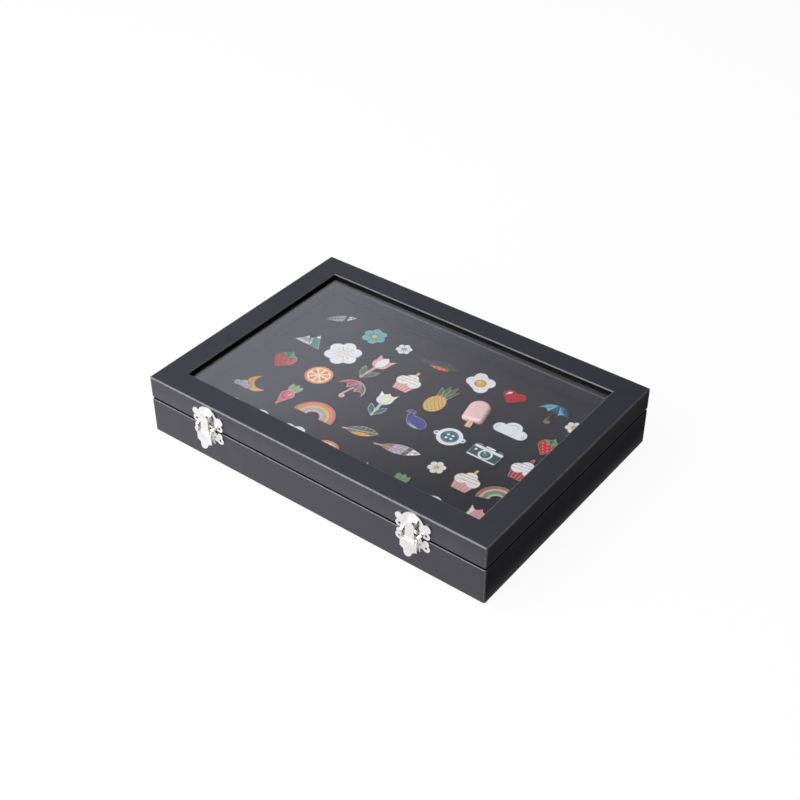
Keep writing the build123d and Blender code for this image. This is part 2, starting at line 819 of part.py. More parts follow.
ear_outer = ear_inner + ear_thickness
with BuildPart() as lever_rivets:
    for x in (-clasp_x, clasp_x):
        for sign in (-1, 1):
            rivet_plane = Plane(
                origin=(x + sign * ear_outer, front - lever_out, seam_height + lever_up),
                x_dir=(0, -1, 0),
                z_dir=(sign, 0, 0),
            )
            with BuildSketch(rivet_plane):
                disc(rivet_head_radius, fine_sag)
            extrude(amount=rivet_head)
            with BuildSketch(rivet_plane):
                disc(rivet_radius, fine_sag)
            extrude(amount=ear_inner - ear_outer - rivet_reach)
save(lever_rivets, "lever_rivets")
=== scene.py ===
"""Looks of the enamel pin display case: leatherette, felt, glass, nickel hardware and enamel."""

from math import acos, atan2, cos, degrees, hypot, pi, radians, sin

import bmesh
import bpy
from mathutils import Matrix, Vector, noise
from mathutils.geometry import delaunay_2d_cdt


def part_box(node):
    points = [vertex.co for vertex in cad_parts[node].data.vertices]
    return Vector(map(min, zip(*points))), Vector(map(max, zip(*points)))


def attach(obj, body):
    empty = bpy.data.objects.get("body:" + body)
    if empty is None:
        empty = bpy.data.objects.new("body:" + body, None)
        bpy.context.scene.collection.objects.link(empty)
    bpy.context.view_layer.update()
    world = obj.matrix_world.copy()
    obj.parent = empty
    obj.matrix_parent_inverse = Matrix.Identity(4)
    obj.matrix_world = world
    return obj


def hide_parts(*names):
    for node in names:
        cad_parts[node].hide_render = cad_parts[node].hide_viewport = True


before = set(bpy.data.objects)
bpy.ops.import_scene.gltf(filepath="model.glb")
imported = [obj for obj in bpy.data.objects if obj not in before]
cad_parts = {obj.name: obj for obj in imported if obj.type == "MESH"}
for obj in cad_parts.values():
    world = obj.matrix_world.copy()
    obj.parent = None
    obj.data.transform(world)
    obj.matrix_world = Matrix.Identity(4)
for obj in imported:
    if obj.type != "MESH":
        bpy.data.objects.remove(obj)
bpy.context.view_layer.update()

MM = 0.001

# ---- Sizes that the frame's boxes don't give, in millimetres ----
SKIN = 0.8
WALL = 8.0
CORNER_ROUND = 1.4
EDGE_ROUND = 1.0
RIM_ROUND = 0.5
FOOT_CHAMFER = 0.5
FRAME_WIDTH = 20.0
RECESS = 3.0
WINDOW_ROUND = 0.6
WINDOW_BAND = 0.4
FLOOR_TOP = 3.6
RAIL_BOTTOM = 43.2
SEAM_RELIEF = 0.7  # both coverings are drawn back along the seam
SEAM_DEPTH = 2.6
SEAM_TURN = 0.8  # how far the lid's lower edge turns in
SEAM_ROUND = 0.6  # the base's upper edge
SEAM_BAND = 0.3
EDGE_BAND = 0.5  # how far the wear and painted highlight reach from a rounded edge
PAINTED_SHADE = -1  # marks a section's point as painted shade: the covering is painted near-black there

# ---- Camera, solved on the photograph ----
CAMERA_PLACE = (481.9, -632.5, 649.25)
CAMERA_TARGET = (-9.1, 13.72, 21.07)
CAMERA_LENS = 61.42
SENSOR = 36.0


# ---- Materials ----
class Nodes:
    """A node tree under construction: short calls to add nodes and to link them."""

    def __init__(self, tree):
        self.tree = tree

    def node(self, kind, inputs=None, **settings):
        """Adds a node. An input is a value, or a socket to link from."""
        made = self.tree.nodes.new(kind)
        for key, value in settings.items():
            setattr(made, key, value)
        for key, value in (inputs or {}).items():
            self.set(made.inputs[key], value)
        return made

    def set(self, socket, value):
        if isinstance(value, bpy.types.NodeSocket):
            self.tree.links.new(value, socket)
        else:
            socket.default_value = value

    def math(self, operation, a, b=0.0, c=0.0):
        return self.node("ShaderNodeMath", {0: a, 1: b, 2: c}, operation=operation).outputs["Value"]

    def mix(self, factor, a, b):
        """Mixes two colours, each a socket or three numbers."""
        made = self.node("ShaderNodeMix", data_type="RGBA")
        for index, value in ((0, factor), (6, a), (7, b)):
            self.set(made.inputs[index], (*value, 1) if isinstance(value, tuple) else value)
        return made.outputs[2]


class Shader(Nodes):
    """A material under construction."""

    def __init__(self, name):
        self.material = bpy.data.materials.new(name)
        self.material.use_nodes = True
        super().__init__(self.material.node_tree)
        self.surface = self.tree.nodes["Principled BSDF"]

    def finish(self, colour, rough, normal=None, **others):
        """Sets the main surface's inputs, the others by their names with underscores for spaces."""
        inputs = {"Base Color": colour, "Roughness": rough, **others}
        if normal:
            inputs["Normal"] = normal
        for key, value in inputs.items():
            self.set(self.surface.inputs[key.replace("_", " ")], value)
        return self.material

    def overlay(self, share, shader):
        """Shows this share of another shader instead of the main surface."""
        both = self.node("ShaderNodeMixShader", {0: share, 1: self.surface.outputs["BSDF"], 2: shader})
        self.set(self.tree.nodes["Material Output"].inputs["Surface"], both.outputs["Shader"])
        return self.material

    def place(self):
        return self.node("ShaderNodeTexCoord").outputs["Object"]

    def stretched(self, scale):
        """Object coordinates stretched along the axes."""
        return self.node("ShaderNodeMapping", {"Vector": self.place(), "Scale": scale}).outputs["Vector"]

    def noise(self, scale, detail=3.0, roughness=0.55, vector=None):
        inputs = {"Vector": vector or self.place(), "Scale": scale, "Detail": detail, "Roughness": roughness}
        return self.node("ShaderNodeTexNoise", inputs).outputs["Fac"]

    def cells(self, scale, output="Distance"):
        return self.node("ShaderNodeTexVoronoi", {"Vector": self.place(), "Scale": scale}).outputs[output]

    def ramp(self, factor, *stops):
        """A colour ramp through (position, colour) stops, where a colour may be one number."""
        made = self.node("ShaderNodeValToRGB", {"Fac": factor})
        points = made.color_ramp.elements
        while len(points) < len(stops):
            points.new(0.5)
        for point, (position, colour) in zip(points, stops):
            point.position = position
            point.color = (*colour, 1) if isinstance(colour, tuple) else (colour, colour, colour, 1)
        return made.outputs["Color"]

    def patchy(self, factor, low, high):
        """A colour that drifts between two."""
        return self.ramp(factor, (0.3, low), (0.7, high))

    def span(self, factor, low, high):
        """Maps 0 to 1 onto low to high."""
        made = self.node("ShaderNodeMapRange", {"Value": factor, "To Min": low, "To Max": high})
        return made.outputs["Result"]

    def bump(self, height, distance, strength=1.0, under=None):
        inputs = {"Height": height, "Distance": distance * MM, "Strength": strength}
        if under is not None:
            inputs["Normal"] = under
        return self.node("ShaderNodeBump", inputs).outputs["Normal"]


def leatherette():
    """Black grained covering with slightly uneven gloss and a few specks of dust. Its rounded edges are
    lightened, as rubbed wear and as a painted highlight; its crevices are painted near-black, as painted
    shade.
    """
    s = Shader("leatherette")
    grain = s.math("ADD", s.cells(1100.0), s.noise(2600.0, 2.0))
    waves = s.bump(s.noise(16.0, 1.0), 0.35, 0.5)
    normal = s.bump(grain, 0.05, 0.55, under=waves)
    tone = s.patchy(s.noise(38.0), (0.009, 0.009, 0.0125), (0.013, 0.013, 0.0175))
    wear_and_painted_light = s.node("ShaderNodeAttribute", attribute_name="wear_and_painted_light").outputs["Fac"]
    # Above 0 the mark is a rounded edge, lightened as rubbed wear and as a painted highlight.
    edge = s.math("MAXIMUM", wear_and_painted_light, 0.0)
    # Below 0 the mark is a crevice, painted near-black as painted shade.
    crevice_shade = s.math("MAXIMUM", s.math("MULTIPLY", wear_and_painted_light, -1.0), 0.0)
    rubbed_and_highlight = s.math("MULTIPLY", edge, s.ramp(s.noise(420.0, 4.0, 0.7), (0.38, 0.45), (0.62, 1.0)))
    # The edges' lighter colour is rubbed wear and painted highlight.
    worn_and_painted_light = s.mix(rubbed_and_highlight, tone, (0.14, 0.137, 0.142))
    # Crevices painted near-black: painted shade.
    worn_and_painted_light = s.mix(crevice_shade, worn_and_painted_light, (0.0008, 0.0008, 0.0008))
    speck = s.math("LESS_THAN", s.cells(75.0), 0.028)
    rare = s.math("GREATER_THAN", s.cells(75.0, "Color"), 0.8)
    dusty = s.mix(s.math("MULTIPLY", speck, rare), worn_and_painted_light, (0.3, 0.29, 0.28))
    even = s.span(s.noise(120.0, 4.0), 0.34, 0.48)
    burnished = s.math("MULTIPLY_ADD", edge, -0.18, even)
    rough = s.math("MULTIPLY_ADD", crevice_shade, -0.1, burnished)
    tint = (0.87, 0.87, 1.0, 1.0)
    return s.finish(dusty, rough, normal, Specular_IOR_Level=0.76, Specular_Tint=tint)


def groove_painted_shade():
    """The covering inside grooves and reveals: painted shade, near-black, matt and barely reflective."""
    s = Shader("groove_painted_shade")
    grain = s.math("ADD", s.cells(1100.0), s.noise(2600.0, 2.0))
    tone = s.patchy(s.noise(38.0), (0.0008, 0.0008, 0.001), (0.0016, 0.0016, 0.0019))
    rough = s.span(s.noise(120.0, 4.0), 0.6, 0.75)
    return s.finish(tone, rough, s.bump(grain, 0.05, 0.55), Specular_IOR_Level=0.1)


def felt():
    """Black felt: matted fibres and a faint nap."""
    s = Shader("felt")
    fibres = s.math("ADD", s.noise(1500.0, 5.0, 0.75), s.noise(700.0, 3.0, 0.6, s.stretched((1.0, 3.5, 1.0))))
    tone = s.ramp(s.noise(900.0, 4.0, 0.7), (0.35, (0.01, 0.01, 0.0115)), (0.68, (0.025, 0.025, 0.028)))
    rough = s.span(s.noise(300.0), 0.85, 1.0)
    nap = {"Specular_IOR_Level": 0.06, "Sheen_Weight": 0.02, "Sheen_Roughness": 0.5}
    return s.finish(tone, rough, s.bump(fibres, 0.06, 0.5), **nap)


def foam():
    """Black open-cell foam, its pores painted darker as painted shade."""
    s = Shader("foam")
    pores = s.cells(1300.0)
    # The pores are painted darker: painted shade.
    tone = s.ramp(pores, (0.15, 0.004), (0.6, 0.03))
    return s.finish(tone, 0.95, s.bump(pores, 0.4), Specular_IOR_Level=0.1)


def board():
    """Pale fibreboard under the covering."""
    s = Shader("board")
    flecks = s.noise(700.0, 5.0, 0.7, s.stretched((1.0, 1.0, 3.0)))
    tone = s.patchy(flecks, (0.3, 0.21, 0.13), (0.46, 0.35, 0.23))
    return s.finish(tone, s.span(s.noise(90.0), 0.7, 0.9), s.bump(flecks, 0.1))


def beading():
    """Black-stained wood beads, with the grain along them."""
    s = Shader("beading")
    grain = s.noise(260.0, 5.0, 0.6, s.stretched((0.25, 0.25, 3.0)))
    tone = s.patchy(grain, (0.0035, 0.0033, 0.0033), (0.008, 0.0075, 0.0072))
    rough = s.span(grain, 0.5, 0.7)
    return s.finish(tone, rough, s.bump(grain, 0.08), Specular_IOR_Level=0.15)


def backing_paper():
    """Black paper glued under the case."""
    s = Shader("backing_paper")
    pulp = s.noise(1900.0, 5.0, 0.7)
    tone = s.patchy(pulp, (0.012, 0.012, 0.013), (0.026, 0.026, 0.028))
    return s.finish(tone, s.span(pulp, 0.75, 0.95), s.bump(pulp, 0.05))


def pane_glass():
    """Clear glass with a trace of smudges. Lamps shine straight through it."""
    s = Shader("pane_glass")
    smudges = s.span(s.ramp(s.noise(22.0, 4.0), (0.55, 0.0), (0.8, 1.0)), 0.0, 0.003)
    s.finish((0.975, 0.985, 0.985, 1), smudges, Transmission_Weight=1.0, IOR=1.5, Specular_IOR_Level=0.5)
    path = s.node("ShaderNodeLightPath")
    passing = s.math("MAXIMUM", path.outputs["Is Shadow Ray"], path.outputs["Is Diffuse Ray"])
    clear = s.node("ShaderNodeBsdfTransparent", {"Color": (0.93, 0.94, 0.94, 1)})
    return s.overlay(passing, clear.outputs["BSDF"])


def metal(name, colour, low, high, scratches=0.02):
    """Plated metal with fine scratches and a patchy polish."""
    s = Shader(name)
    lines = s.noise(600.0, 4.0, 0.6, s.stretched((1.0, 1.0, 6.0)))
    tone = s.patchy(s.noise(240.0), tuple(0.9 * c for c in colour), colour)
    rough = s.span(s.noise(350.0, 4.0, 0.65), low, high)
    return s.finish(tone, rough, s.bump(lines, scratches, 0.6), Metallic=1.0)


def enamel(name, colour):
    """Glassy enamel, a little cloudy in its colour."""
    s = Shader(name)
    tone = s.patchy(s.noise(420.0), tuple(0.86 * c for c in colour), colour)
    rough = s.span(s.noise(260.0), 0.12, 0.24)
    return s.finish(tone, rough, s.bump(s.noise(190.0, 2.0), 0.05), Coat_Weight=0.25)


LEATHERETTE = leatherette()
GROOVE_PAINTED_SHADE = groove_painted_shade()
FELT = felt()
FOAM = foam()
BOARD = board()
BEADING = beading()
PAPER = backing_paper()
GLASS = pane_glass()
NICKEL = metal("nickel", (0.96, 0.95, 0.93), 0.12, 0.28, 0.005)
# Nail heads are near-black: a dark finish, and painted shade that stands in for the shade round the sunken
# heads.
NAIL_PAINTED_SHADE = metal("nail_steel_painted_shade", (0.055, 0.04, 0.034), 0.35, 0.55)
GOLD = metal("pin_gold", (0.86, 0.63, 0.34), 0.16, 0.3, 0.01)
SILVER = metal("pin_silver", (0.82, 0.82, 0.84), 0.16, 0.3, 0.01)
ROSE = metal("pin_rose_gold", (0.85, 0.6, 0.48), 0.16, 0.3, 0.01)

ENAMEL_COLOURS = {
    "white": (0.86, 0.86, 0.87),
    "cream": (0.85, 0.78, 0.62),
    "grey": (0.48, 0.48, 0.52),
    "lilac": (0.5, 0.42, 0.62),
    "pink": (0.84, 0.38, 0.42),
    "rose": (0.64, 0.09, 0.14),
    "red": (0.52, 0.008, 0.01),
    "orange": (0.86, 0.18, 0.012),
    "amber": (0.88, 0.33, 0.008),
    "yellow": (0.84, 0.5, 0.025),
    "tan": (0.8, 0.45, 0.18),
    "blush": (0.9, 0.58, 0.58),
    "brown": (0.34, 0.17, 0.1),
    "leaf": (0.006, 0.12, 0.035),
    "mint": (0.07, 0.36, 0.14),
    "teal": (0.008, 0.27, 0.17),
    "petrol": (0.012, 0.1, 0.15),
    "pine": (0.02, 0.07, 0.06),
    "sky": (0.14, 0.47, 0.55),
    "blue": (0.01, 0.1, 0.45),
    "indigo": (0.02, 0.028, 0.26),
}
ENAMEL = {name: enamel(f"enamel_{name}", colour) for name, colour in ENAMEL_COLOURS.items()}


# ---- Meshes and pieces ----
def box_mm(node):
    """A node's lowest and highest corners, in millimetres."""
    low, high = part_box(node)
    return low / MM, high / MM


def shade(mesh, smooth):
    """Shades a mesh smooth, except where it turns by more than the angle."""
    mesh.validate()
    mesh.polygons.foreach_set("use_smooth", [True] * len(mesh.polygons))
    mesh.set_sharp_from_angle(angle=radians(smooth))
    mesh.update()
    return mesh


def new_mesh(name, points, faces, smooth=30.0):
    """A mesh from points in millimetres."""
    mesh = bpy.data.meshes.new(name)
    mesh.from_pydata([Vector(p) * MM for p in points], [], faces)
    return shade(mesh, smooth)


def merged(mesh):
    """Merges points that coincide and turns all faces outward."""
    shape = bmesh.new()
    shape.from_mesh(mesh)
    bmesh.ops.remove_doubles(shape, verts=shape.verts, dist=0.001 * MM)
    bmesh.ops.recalc_face_normals(shape, faces=shape.faces)
    shape.to_mesh(mesh)
    shape.free()


def ring_faces(start, rows, count, closed=False):
    """The faces between rings of this many points, which follow each other from the start."""
    faces = []
    for row in range(rows if closed else rows - 1):
        a, b = start + row * count, start + (row + 1) % rows * count
        for k in range(count):
            m = (k + 1) % count
            faces.append((a + k, a + m, b + m, b + k))
    return faces


def turned(points, faces, side, place, count):
    """Adds a turned body, closed at its foot, from the (radius, height) points down its side."""
    start = len(points)
    around = [2 * pi * k / count for k in range(count)]
    for radius, height in side:
        points += [place @ Vector((radius * cos(t), radius * sin(t), height)) for t in around]
    faces += [(p, s, r, q) for p, q, r, s in ring_faces(start, len(side), count)]
    faces.append(tuple(reversed(range(len(points) - count, len(points)))))


def add_object(name, data):
    made = bpy.data.objects.new(name, data)
    bpy.context.scene.collection.objects.link(made)
    return made


def add_piece(name, mesh, body, material, replaces=()):
    """Puts a finished mesh into the scene, on its body. Without a material it keeps those of its mesh."""
    piece = add_object(name, mesh)
    if material:
        mesh.materials.append(material)
    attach(piece, body)
    if replaces:
        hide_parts(*replaces)
    return piece


def refinish(material, *nodes):
    """Gives carried-over nodes their material."""
    for node in nodes:
        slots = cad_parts[node].data.materials
        slots.clear()
        slots.append(material)


# ---- Leatherette coverings ----
def arc(centre, radius, start, end, steps=5):
    """Points along an arc, angles in degrees."""
    turns = [radians(start + (end - start) * i / steps) for i in range(steps + 1)]
    return [(centre[0] + radius * cos(t), centre[1] + radius * sin(t)) for t in turns]


def rounded(points, steps=5):
    """The (inset, height, mark) points of a section, from (inset, height, radius, band) corners.

    A corner with a radius becomes an arc whose mark is highest in its middle and fades out over the band;
    there the covering is lightened, as wear and as a painted highlight. Any other corner stays; its radius,
    and so its mark, is 0, or the crevice mark, which paints the covering near-black as painted shade.
    """
    section = []
    for i, (x, y, radius, *fade) in enumerate(points):
        here = Vector((x, y))
        if radius <= 0:
            section.append((x, y, float(radius)))
            continue
        before = (Vector(points[i - 1][:2]) - here).normalized()
        after = (Vector(points[(i + 1) % len(points)][:2]) - here).normalized()
        centre = here + (before + after) * radius
        reach = radius + (fade or [EDGE_BAND])[0]
        section.append((*(here + before * reach), 0.0))
        for step in range(steps + 1):
            share = step / steps
            ray = (-after * (1 - share) - before * share).normalized()
            section.append((*(centre + ray * radius), sin(pi * share) * 0.6 + 0.4))
        section.append((*(here + after * reach), 0.0))
    return section


def ring_stations(steps=24, arc_steps=5):
    """Stations round a rounded rectangle: a place on its core, a direction outward, and 1 at a corner.

    The place runs from -1 to 1 each way.
    """
    near = 0.985  # a station stands this close to each corner
    run = [-1.0, -near, *(-near + 2 * near * i / steps for i in range(1, steps)), near, 1.0]
    stations = []
    for quarter in range(4):
        turn = Matrix.Rotation(quarter * pi / 2, 2)
        for t in run:
            stations.append((turn @ Vector((1, t)), turn @ Vector((1, 0)), 0.0))
        for step in range(1, arc_steps):
            angle = step / arc_steps * pi / 2
            stations.append((turn @ Vector((1, 1)), turn @ Vector((cos(angle), sin(angle))), 1.0))
    return stations


def add_covering(part, corners):
    """A part's covering: a closed ring with a section of these corners, swept round the case's outline."""
    half_x, half_y, _ = box_mm(f"{part}_wrap")[1]
    stations, section = ring_stations(), rounded(corners)
    points, wear_and_painted_light = [], []
    for core, out, corner in stations:
        for inset, height, worn_and_painted_light in section:
            reach = max(inset, CORNER_ROUND)
            x = core.x * (half_x - reach) + out.x * (reach - inset)
            y = core.y * (half_y - reach) + out.y * (reach - inset)
            points.append(Vector((x, y, height)) * MM)
            # The case's vertical corners are lightened too, as wear and painted highlight.
            wear_and_painted_light.append(max(worn_and_painted_light, corner) if inset < 0.01 else worn_and_painted_light)
    mesh = bpy.data.meshes.new(f"{part}_covering")
    mesh.from_pydata(points, [], ring_faces(0, len(stations), len(section), closed=True))
    mesh.attributes.new("wear_and_painted_light", "FLOAT", "POINT").data.foreach_set("value", wear_and_painted_light)
    merged(mesh)
    mesh.materials.append(LEATHERETTE)
    # The second material, near-black, is painted shade for the faces that lie wholly in crevices.
    mesh.materials.append(GROOVE_PAINTED_SHADE)
    worn_and_painted_light = mesh.attributes["wear_and_painted_light"].data
    for polygon in mesh.polygons:
        polygon.material_index = int(all(worn_and_painted_light[v].value <= PAINTED_SHADE for v in polygon.vertices))
    add_piece(mesh.name, shade(mesh, 40.0), part, None, [f"{part}_wrap"])


def make_coverings():
    low, high = box_mm("lid_wrap")
    inside = WALL + 2 * SKIN
    foot = low.z + SEAM_RELIEF
    # Points with the crevice mark are painted near-black as painted shade: the window's recess wall and the
    # seam's groove.
    lid = [
        (FRAME_WIDTH, high.z - RECESS, PAINTED_SHADE),
        (FRAME_WIDTH, high.z - 2 * WINDOW_ROUND, PAINTED_SHADE),
        (FRAME_WIDTH, high.z, WINDOW_ROUND, WINDOW_BAND),
        (0, high.z, EDGE_ROUND),
        (0, foot + SEAM_TURN, 0),
        (0.3 * SEAM_TURN, foot + 0.3 * SEAM_TURN, PAINTED_SHADE),
        (SEAM_TURN, foot, PAINTED_SHADE),
        (SEAM_DEPTH, foot, PAINTED_SHADE),
        (SEAM_DEPTH, low.z, PAINTED_SHADE),
        (inside, low.z, RIM_ROUND),
        (inside, RAIL_BOTTOM, 0),
        (inside - SKIN, RAIL_BOTTOM, 0),
        (inside - SKIN, low.z + SKIN, 0),
        (SEAM_DEPTH + SKIN, low.z + SKIN, 0),
        (SEAM_TURN + SKIN, foot + SKIN, 0),
        (SKIN, foot + SEAM_TURN, 0),
        (SKIN, high.z - SKIN, 0),
        (FRAME_WIDTH - SKIN, high.z - SKIN, 0),
        (FRAME_WIDTH - SKIN, high.z - RECESS, 0),
    ]
    add_covering("lid", lid)

    low, high = box_mm("base_wrap")
    # Points with the crevice mark, in the seam's groove, are painted near-black as painted shade.
    base = [
        (inside - SKIN, low.z, 0),
        (FOOT_CHAMFER, low.z, 0),
        (0, low.z + FOOT_CHAMFER, 0),
        (0, high.z - SEAM_RELIEF, SEAM_ROUND, SEAM_BAND),
        (SEAM_ROUND + 2 * SEAM_BAND, high.z - SEAM_RELIEF, PAINTED_SHADE),
        (SEAM_DEPTH, high.z - SEAM_RELIEF, PAINTED_SHADE),
        (SEAM_DEPTH, high.z, PAINTED_SHADE),
        (inside, high.z, RIM_ROUND),
        (inside, FLOOR_TOP, 0),
        (inside - SKIN, FLOOR_TOP, 0),
        (inside - SKIN, high.z - SKIN, 0),
        (SEAM_DEPTH + SKIN, high.z - SKIN, 0),
        (SKIN, high.z - SKIN - 0.1, 0),
        (SKIN, low.z + SKIN, 0),
        (inside - SKIN, low.z + SKIN, 0),
    ]
    add_covering("base", base)


# ---- Pad ----
PAD_GRID = 4.0
PAD_EDGE = 16.0  # how far in from its edge the pad is drawn down
PAD_DROP = 0.8
PAD_RISE = 0.22  # how uneven its middle is
FELT_THICKNESS = 0.9
FELT_ROUND = 1.1
FOAM_GAP = Vector((0.2, 0.2, 0.25))  # to the felt
FOAM_ROUND = 0.8


def pad_lift(x, y, half_x, half_y):
    """How far the pad's surface stands above its box: drawn down at the edge, uneven in the middle."""
    edge = min(half_x - abs(x), half_y - abs(y))
    share = min(max(edge / PAD_EDGE, 0.0), 1.0)
    swell = share * share * (3 - 2 * share)
    uneven = 0.5 + 0.5 * noise.noise(Vector((x, y, 0)) * 0.045)
    return PAD_DROP * (swell - 1) + PAD_RISE * swell * uneven


def pad_shell(name, low, high, round_radius):
    """An open-bottomed box with a gridded, gently crowned top and rounded edges."""
    shape = bmesh.new()
    bmesh.ops.create_cube(shape, size=1.0)
    size = high - low
    middle = (high + low) / 2
    bmesh.ops.scale(shape, vec=size, verts=shape.verts)
    bmesh.ops.translate(shape, vec=middle, verts=shape.verts)
    bottom = [f for f in shape.faces if f.normal.z < -0.9]
    bmesh.ops.delete(shape, geom=bottom, context="FACES_ONLY")
    top_edges = [e for e in shape.edges if all(v.co.z > high.z - 0.01 for v in e.verts)]
    bmesh.ops.bevel(shape, geom=top_edges, offset=round_radius, segments=4, profile=0.5, affect="EDGES")
    for axis in range(3):
        normal = Vector([float(i == axis) for i in range(3)])
        count = int(size[axis] // PAD_GRID)
        for i in range(1, count):
            spot = Vector(middle)
            spot[axis] = low[axis] + size[axis] * i / count
            geometry = shape.verts[:] + shape.edges[:] + shape.faces[:]
            bmesh.ops.bisect_plane(shape, geom=geometry, plane_co=spot, plane_no=normal)
    for v in shape.verts:
        share = (v.co.z - low.z) / size.z
        v.co.z += pad_lift(v.co.x, v.co.y, high.x, high.y) * max(share * 4 - 3, 0.0)
    bmesh.ops.scale(shape, vec=(MM, MM, MM), verts=shape.verts)
    mesh = bpy.data.meshes.new(name)
    shape.to_mesh(mesh)
    shape.free()
    return shade(mesh, 60.0)


def make_pad():
    low, high = box_mm("felt_cover")
    shell = pad_shell("felt_sheet", low, high, FELT_ROUND)
    cover = add_piece("felt_sheet", shell, "base", FELT, ["felt_cover"])
    thick = cover.modifiers.new("thickness", "SOLIDIFY")
    thick.thickness = FELT_THICKNESS * MM
    thick.offset = -1
    bpy.context.view_layer.update()
    graph = bpy.context.evaluated_depsgraph_get()
    cover.data = bpy.data.meshes.new_from_object(cover.evaluated_get(graph))
    cover.modifiers.clear()
    shade(cover.data, 60.0)

    low, high = box_mm("foam_pad")
    low = Vector((low.x + FOAM_GAP.x, low.y + FOAM_GAP.y, low.z))
    block = pad_shell("foam_block", low, high - FOAM_GAP, FOAM_ROUND)
    shape = bmesh.new()
    shape.from_mesh(block)
    bmesh.ops.contextual_create(shape, geom=[e for e in shape.edges if e.is_boundary])
    shape.to_mesh(block)
    shape.free()
    pad = add_piece("foam_block", block, "base", FOAM, ["foam_pad"])


# ---- Nickel hardware ----
BEVEL = 0.1
PIN_BEVEL = 0.05
SHARP = 35  # edges that turn by more degrees are rolled over
NAIL_RADIUS = 0.84
NAIL_DOME = 0.34
NAIL_FACETS = 16
# A nail's (radius, height) points down its side: a domed head with a short shank.
NAIL = [(NAIL_RADIUS * sin(t), NAIL_DOME * cos(t)) for t in (0.0, 0.4, 0.8, 1.2, pi / 2)]
NAIL += [(NAIL_RADIUS * share, -down) for share, down in ((0.97, 0.12), (0.55, 0.2), (0.55, 3.0))]
# How far two nails stand from a plate's middle, on which side of the case, and how far out its face is.
CLASP_NAILS = (11.0, -1, 0.7)
HINGE_NAILS = (7.5, 1, 0.8)
KEEPER_NAIL_UP = 3.0  # above the keeper's lower edge
PLATE_NAIL_UP = 3.3  # above the lower plate's lower edge
HINGE_NAIL_IN = 4.55  # from the leaf's far edge


def softened(node, body):
    """A copy of a metal node with its sharp edges rolled over, as tumbled and plated parts have."""
    shape = bmesh.new()
    shape.from_mesh(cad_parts[node].data)
    bmesh.ops.remove_doubles(shape, verts=shape.verts, dist=0.002 * MM)
    bmesh.ops.dissolve_limit(shape, angle_limit=radians(1.0), verts=shape.verts, edges=shape.edges)
    sharp = [e for e in shape.edges if len(e.link_faces) == 2 and e.calc_face_angle() > radians(SHARP)]
    size = (PIN_BEVEL if "pin" in node else BEVEL) * MM
    rolled = {"segments": 2, "profile": 0.6, "affect": "EDGES", "clamp_overlap": True}
    bmesh.ops.bevel(shape, geom=sharp, offset=size, **rolled)
    bmesh.ops.recalc_face_normals(shape, faces=shape.faces)
    plain = bpy.data.meshes.new(f"{node}_nickel")
    shape.to_mesh(plain)
    shape.free()
    for name in ("custom_normal", "sharp_face", "sharp_edge"):
        if name in plain.attributes:
            plain.attributes.remove(plain.attributes[name])
    plain.materials.clear()
    add_piece(plain.name, shade(plain, 32.0), body, NICKEL, [node])


def add_nails(name, body, spots, outward):
    """Nails at these points of a plate's face, in millimetres, heads outward."""
    points, faces = [], []
    turn = Vector((0, 0, 1)).rotation_difference(outward).to_matrix().to_4x4()
    for spot in spots:
        turned(points, faces, NAIL, Matrix.Translation(spot) @ turn, NAIL_FACETS)
    mesh = new_mesh(name, points, faces, 50.0)
    merged(mesh)
    add_piece(name, mesh, body, NAIL_PAINTED_SHADE)


def make_hardware():
    case_side = box_mm("lid_wrap")[1].y
    for end in ("left", "right"):
        for node, body in (
            ("clasp_keeper", "lid"),
            ("clasp_plate", "base"),
            ("clasp_lever", f"lever_{end}"),
            ("clasp_link_pin", f"lever_{end}"),
            ("clasp_link", f"link_{end}"),
            ("hinge_base_leaf", "base"),
            ("hinge_lid_leaf", "lid"),
        ):
            softened(f"{node}_{end}", body)
        nodes = ("clasp_keeper", "clasp_plate", "hinge_lid_leaf", "hinge_base_leaf")
        keeper, plate, lid_leaf, base_leaf = (box_mm(f"{node}_{end}") for node in nodes)
        for name, body, (low, high), (across, side, face), up in (
            ("keeper_nails", "lid", keeper, CLASP_NAILS, keeper[0].z + KEEPER_NAIL_UP),
            ("plate_nails", "base", keeper, CLASP_NAILS, plate[0].z + PLATE_NAIL_UP),
            ("lid_hinge_nails", "lid", lid_leaf, HINGE_NAILS, lid_leaf[1].z - HINGE_NAIL_IN),
            ("base_hinge_nails", "base", lid_leaf, HINGE_NAILS, base_leaf[0].z + HINGE_NAIL_IN),
        ):
            middle = (low.x + high.x) / 2
            spots = [(middle + s * across, side * (case_side + face), up) for s in (-1, 1)]
            add_nails(f"{name}_{end}", body, spots, Vector((0, side, 0)))
    softened("hinge_pins", "base")
    softened("lever_rivets", "base")


# ---- Outlines of the pins, as shares of a pin's own size ----
def placed(rim, x, y, turn):
    """An outline turned by an angle in degrees and moved to a point."""
    c, s = cos(radians(turn)), sin(radians(turn))
    return [(x + u * c - v * s, y + u * s + v * c) for u, v in rim]


def oval(x, y, radius_x, radius_y, turn=0.0):
    count = round(12 + 60 * max(radius_x, radius_y))
    turns = [2 * pi * i / count for i in range(count)]
    return placed([(radius_x * cos(t), radius_y * sin(t)) for t in turns], x, y, turn)


def disc(x, y, radius):
    return oval(x, y, radius, radius)


def lens(x, y, length, breadth, turn=0.0, steps=14):
    """A pointed oval."""
    side = [2 * i / steps - 1 for i in range(steps)]
    rim = [(t * length / 2, (t * t - 1) * breadth / 2) for t in side]
    return placed(rim + [(-u, -v) for u, v in rim], x, y, turn)


def bar(x, y, width, height, turn=0.0):
    u, v = width / 2, height / 2
    return placed([(-u, -v), (u, -v), (u, v), (-u, v)], x, y, turn)


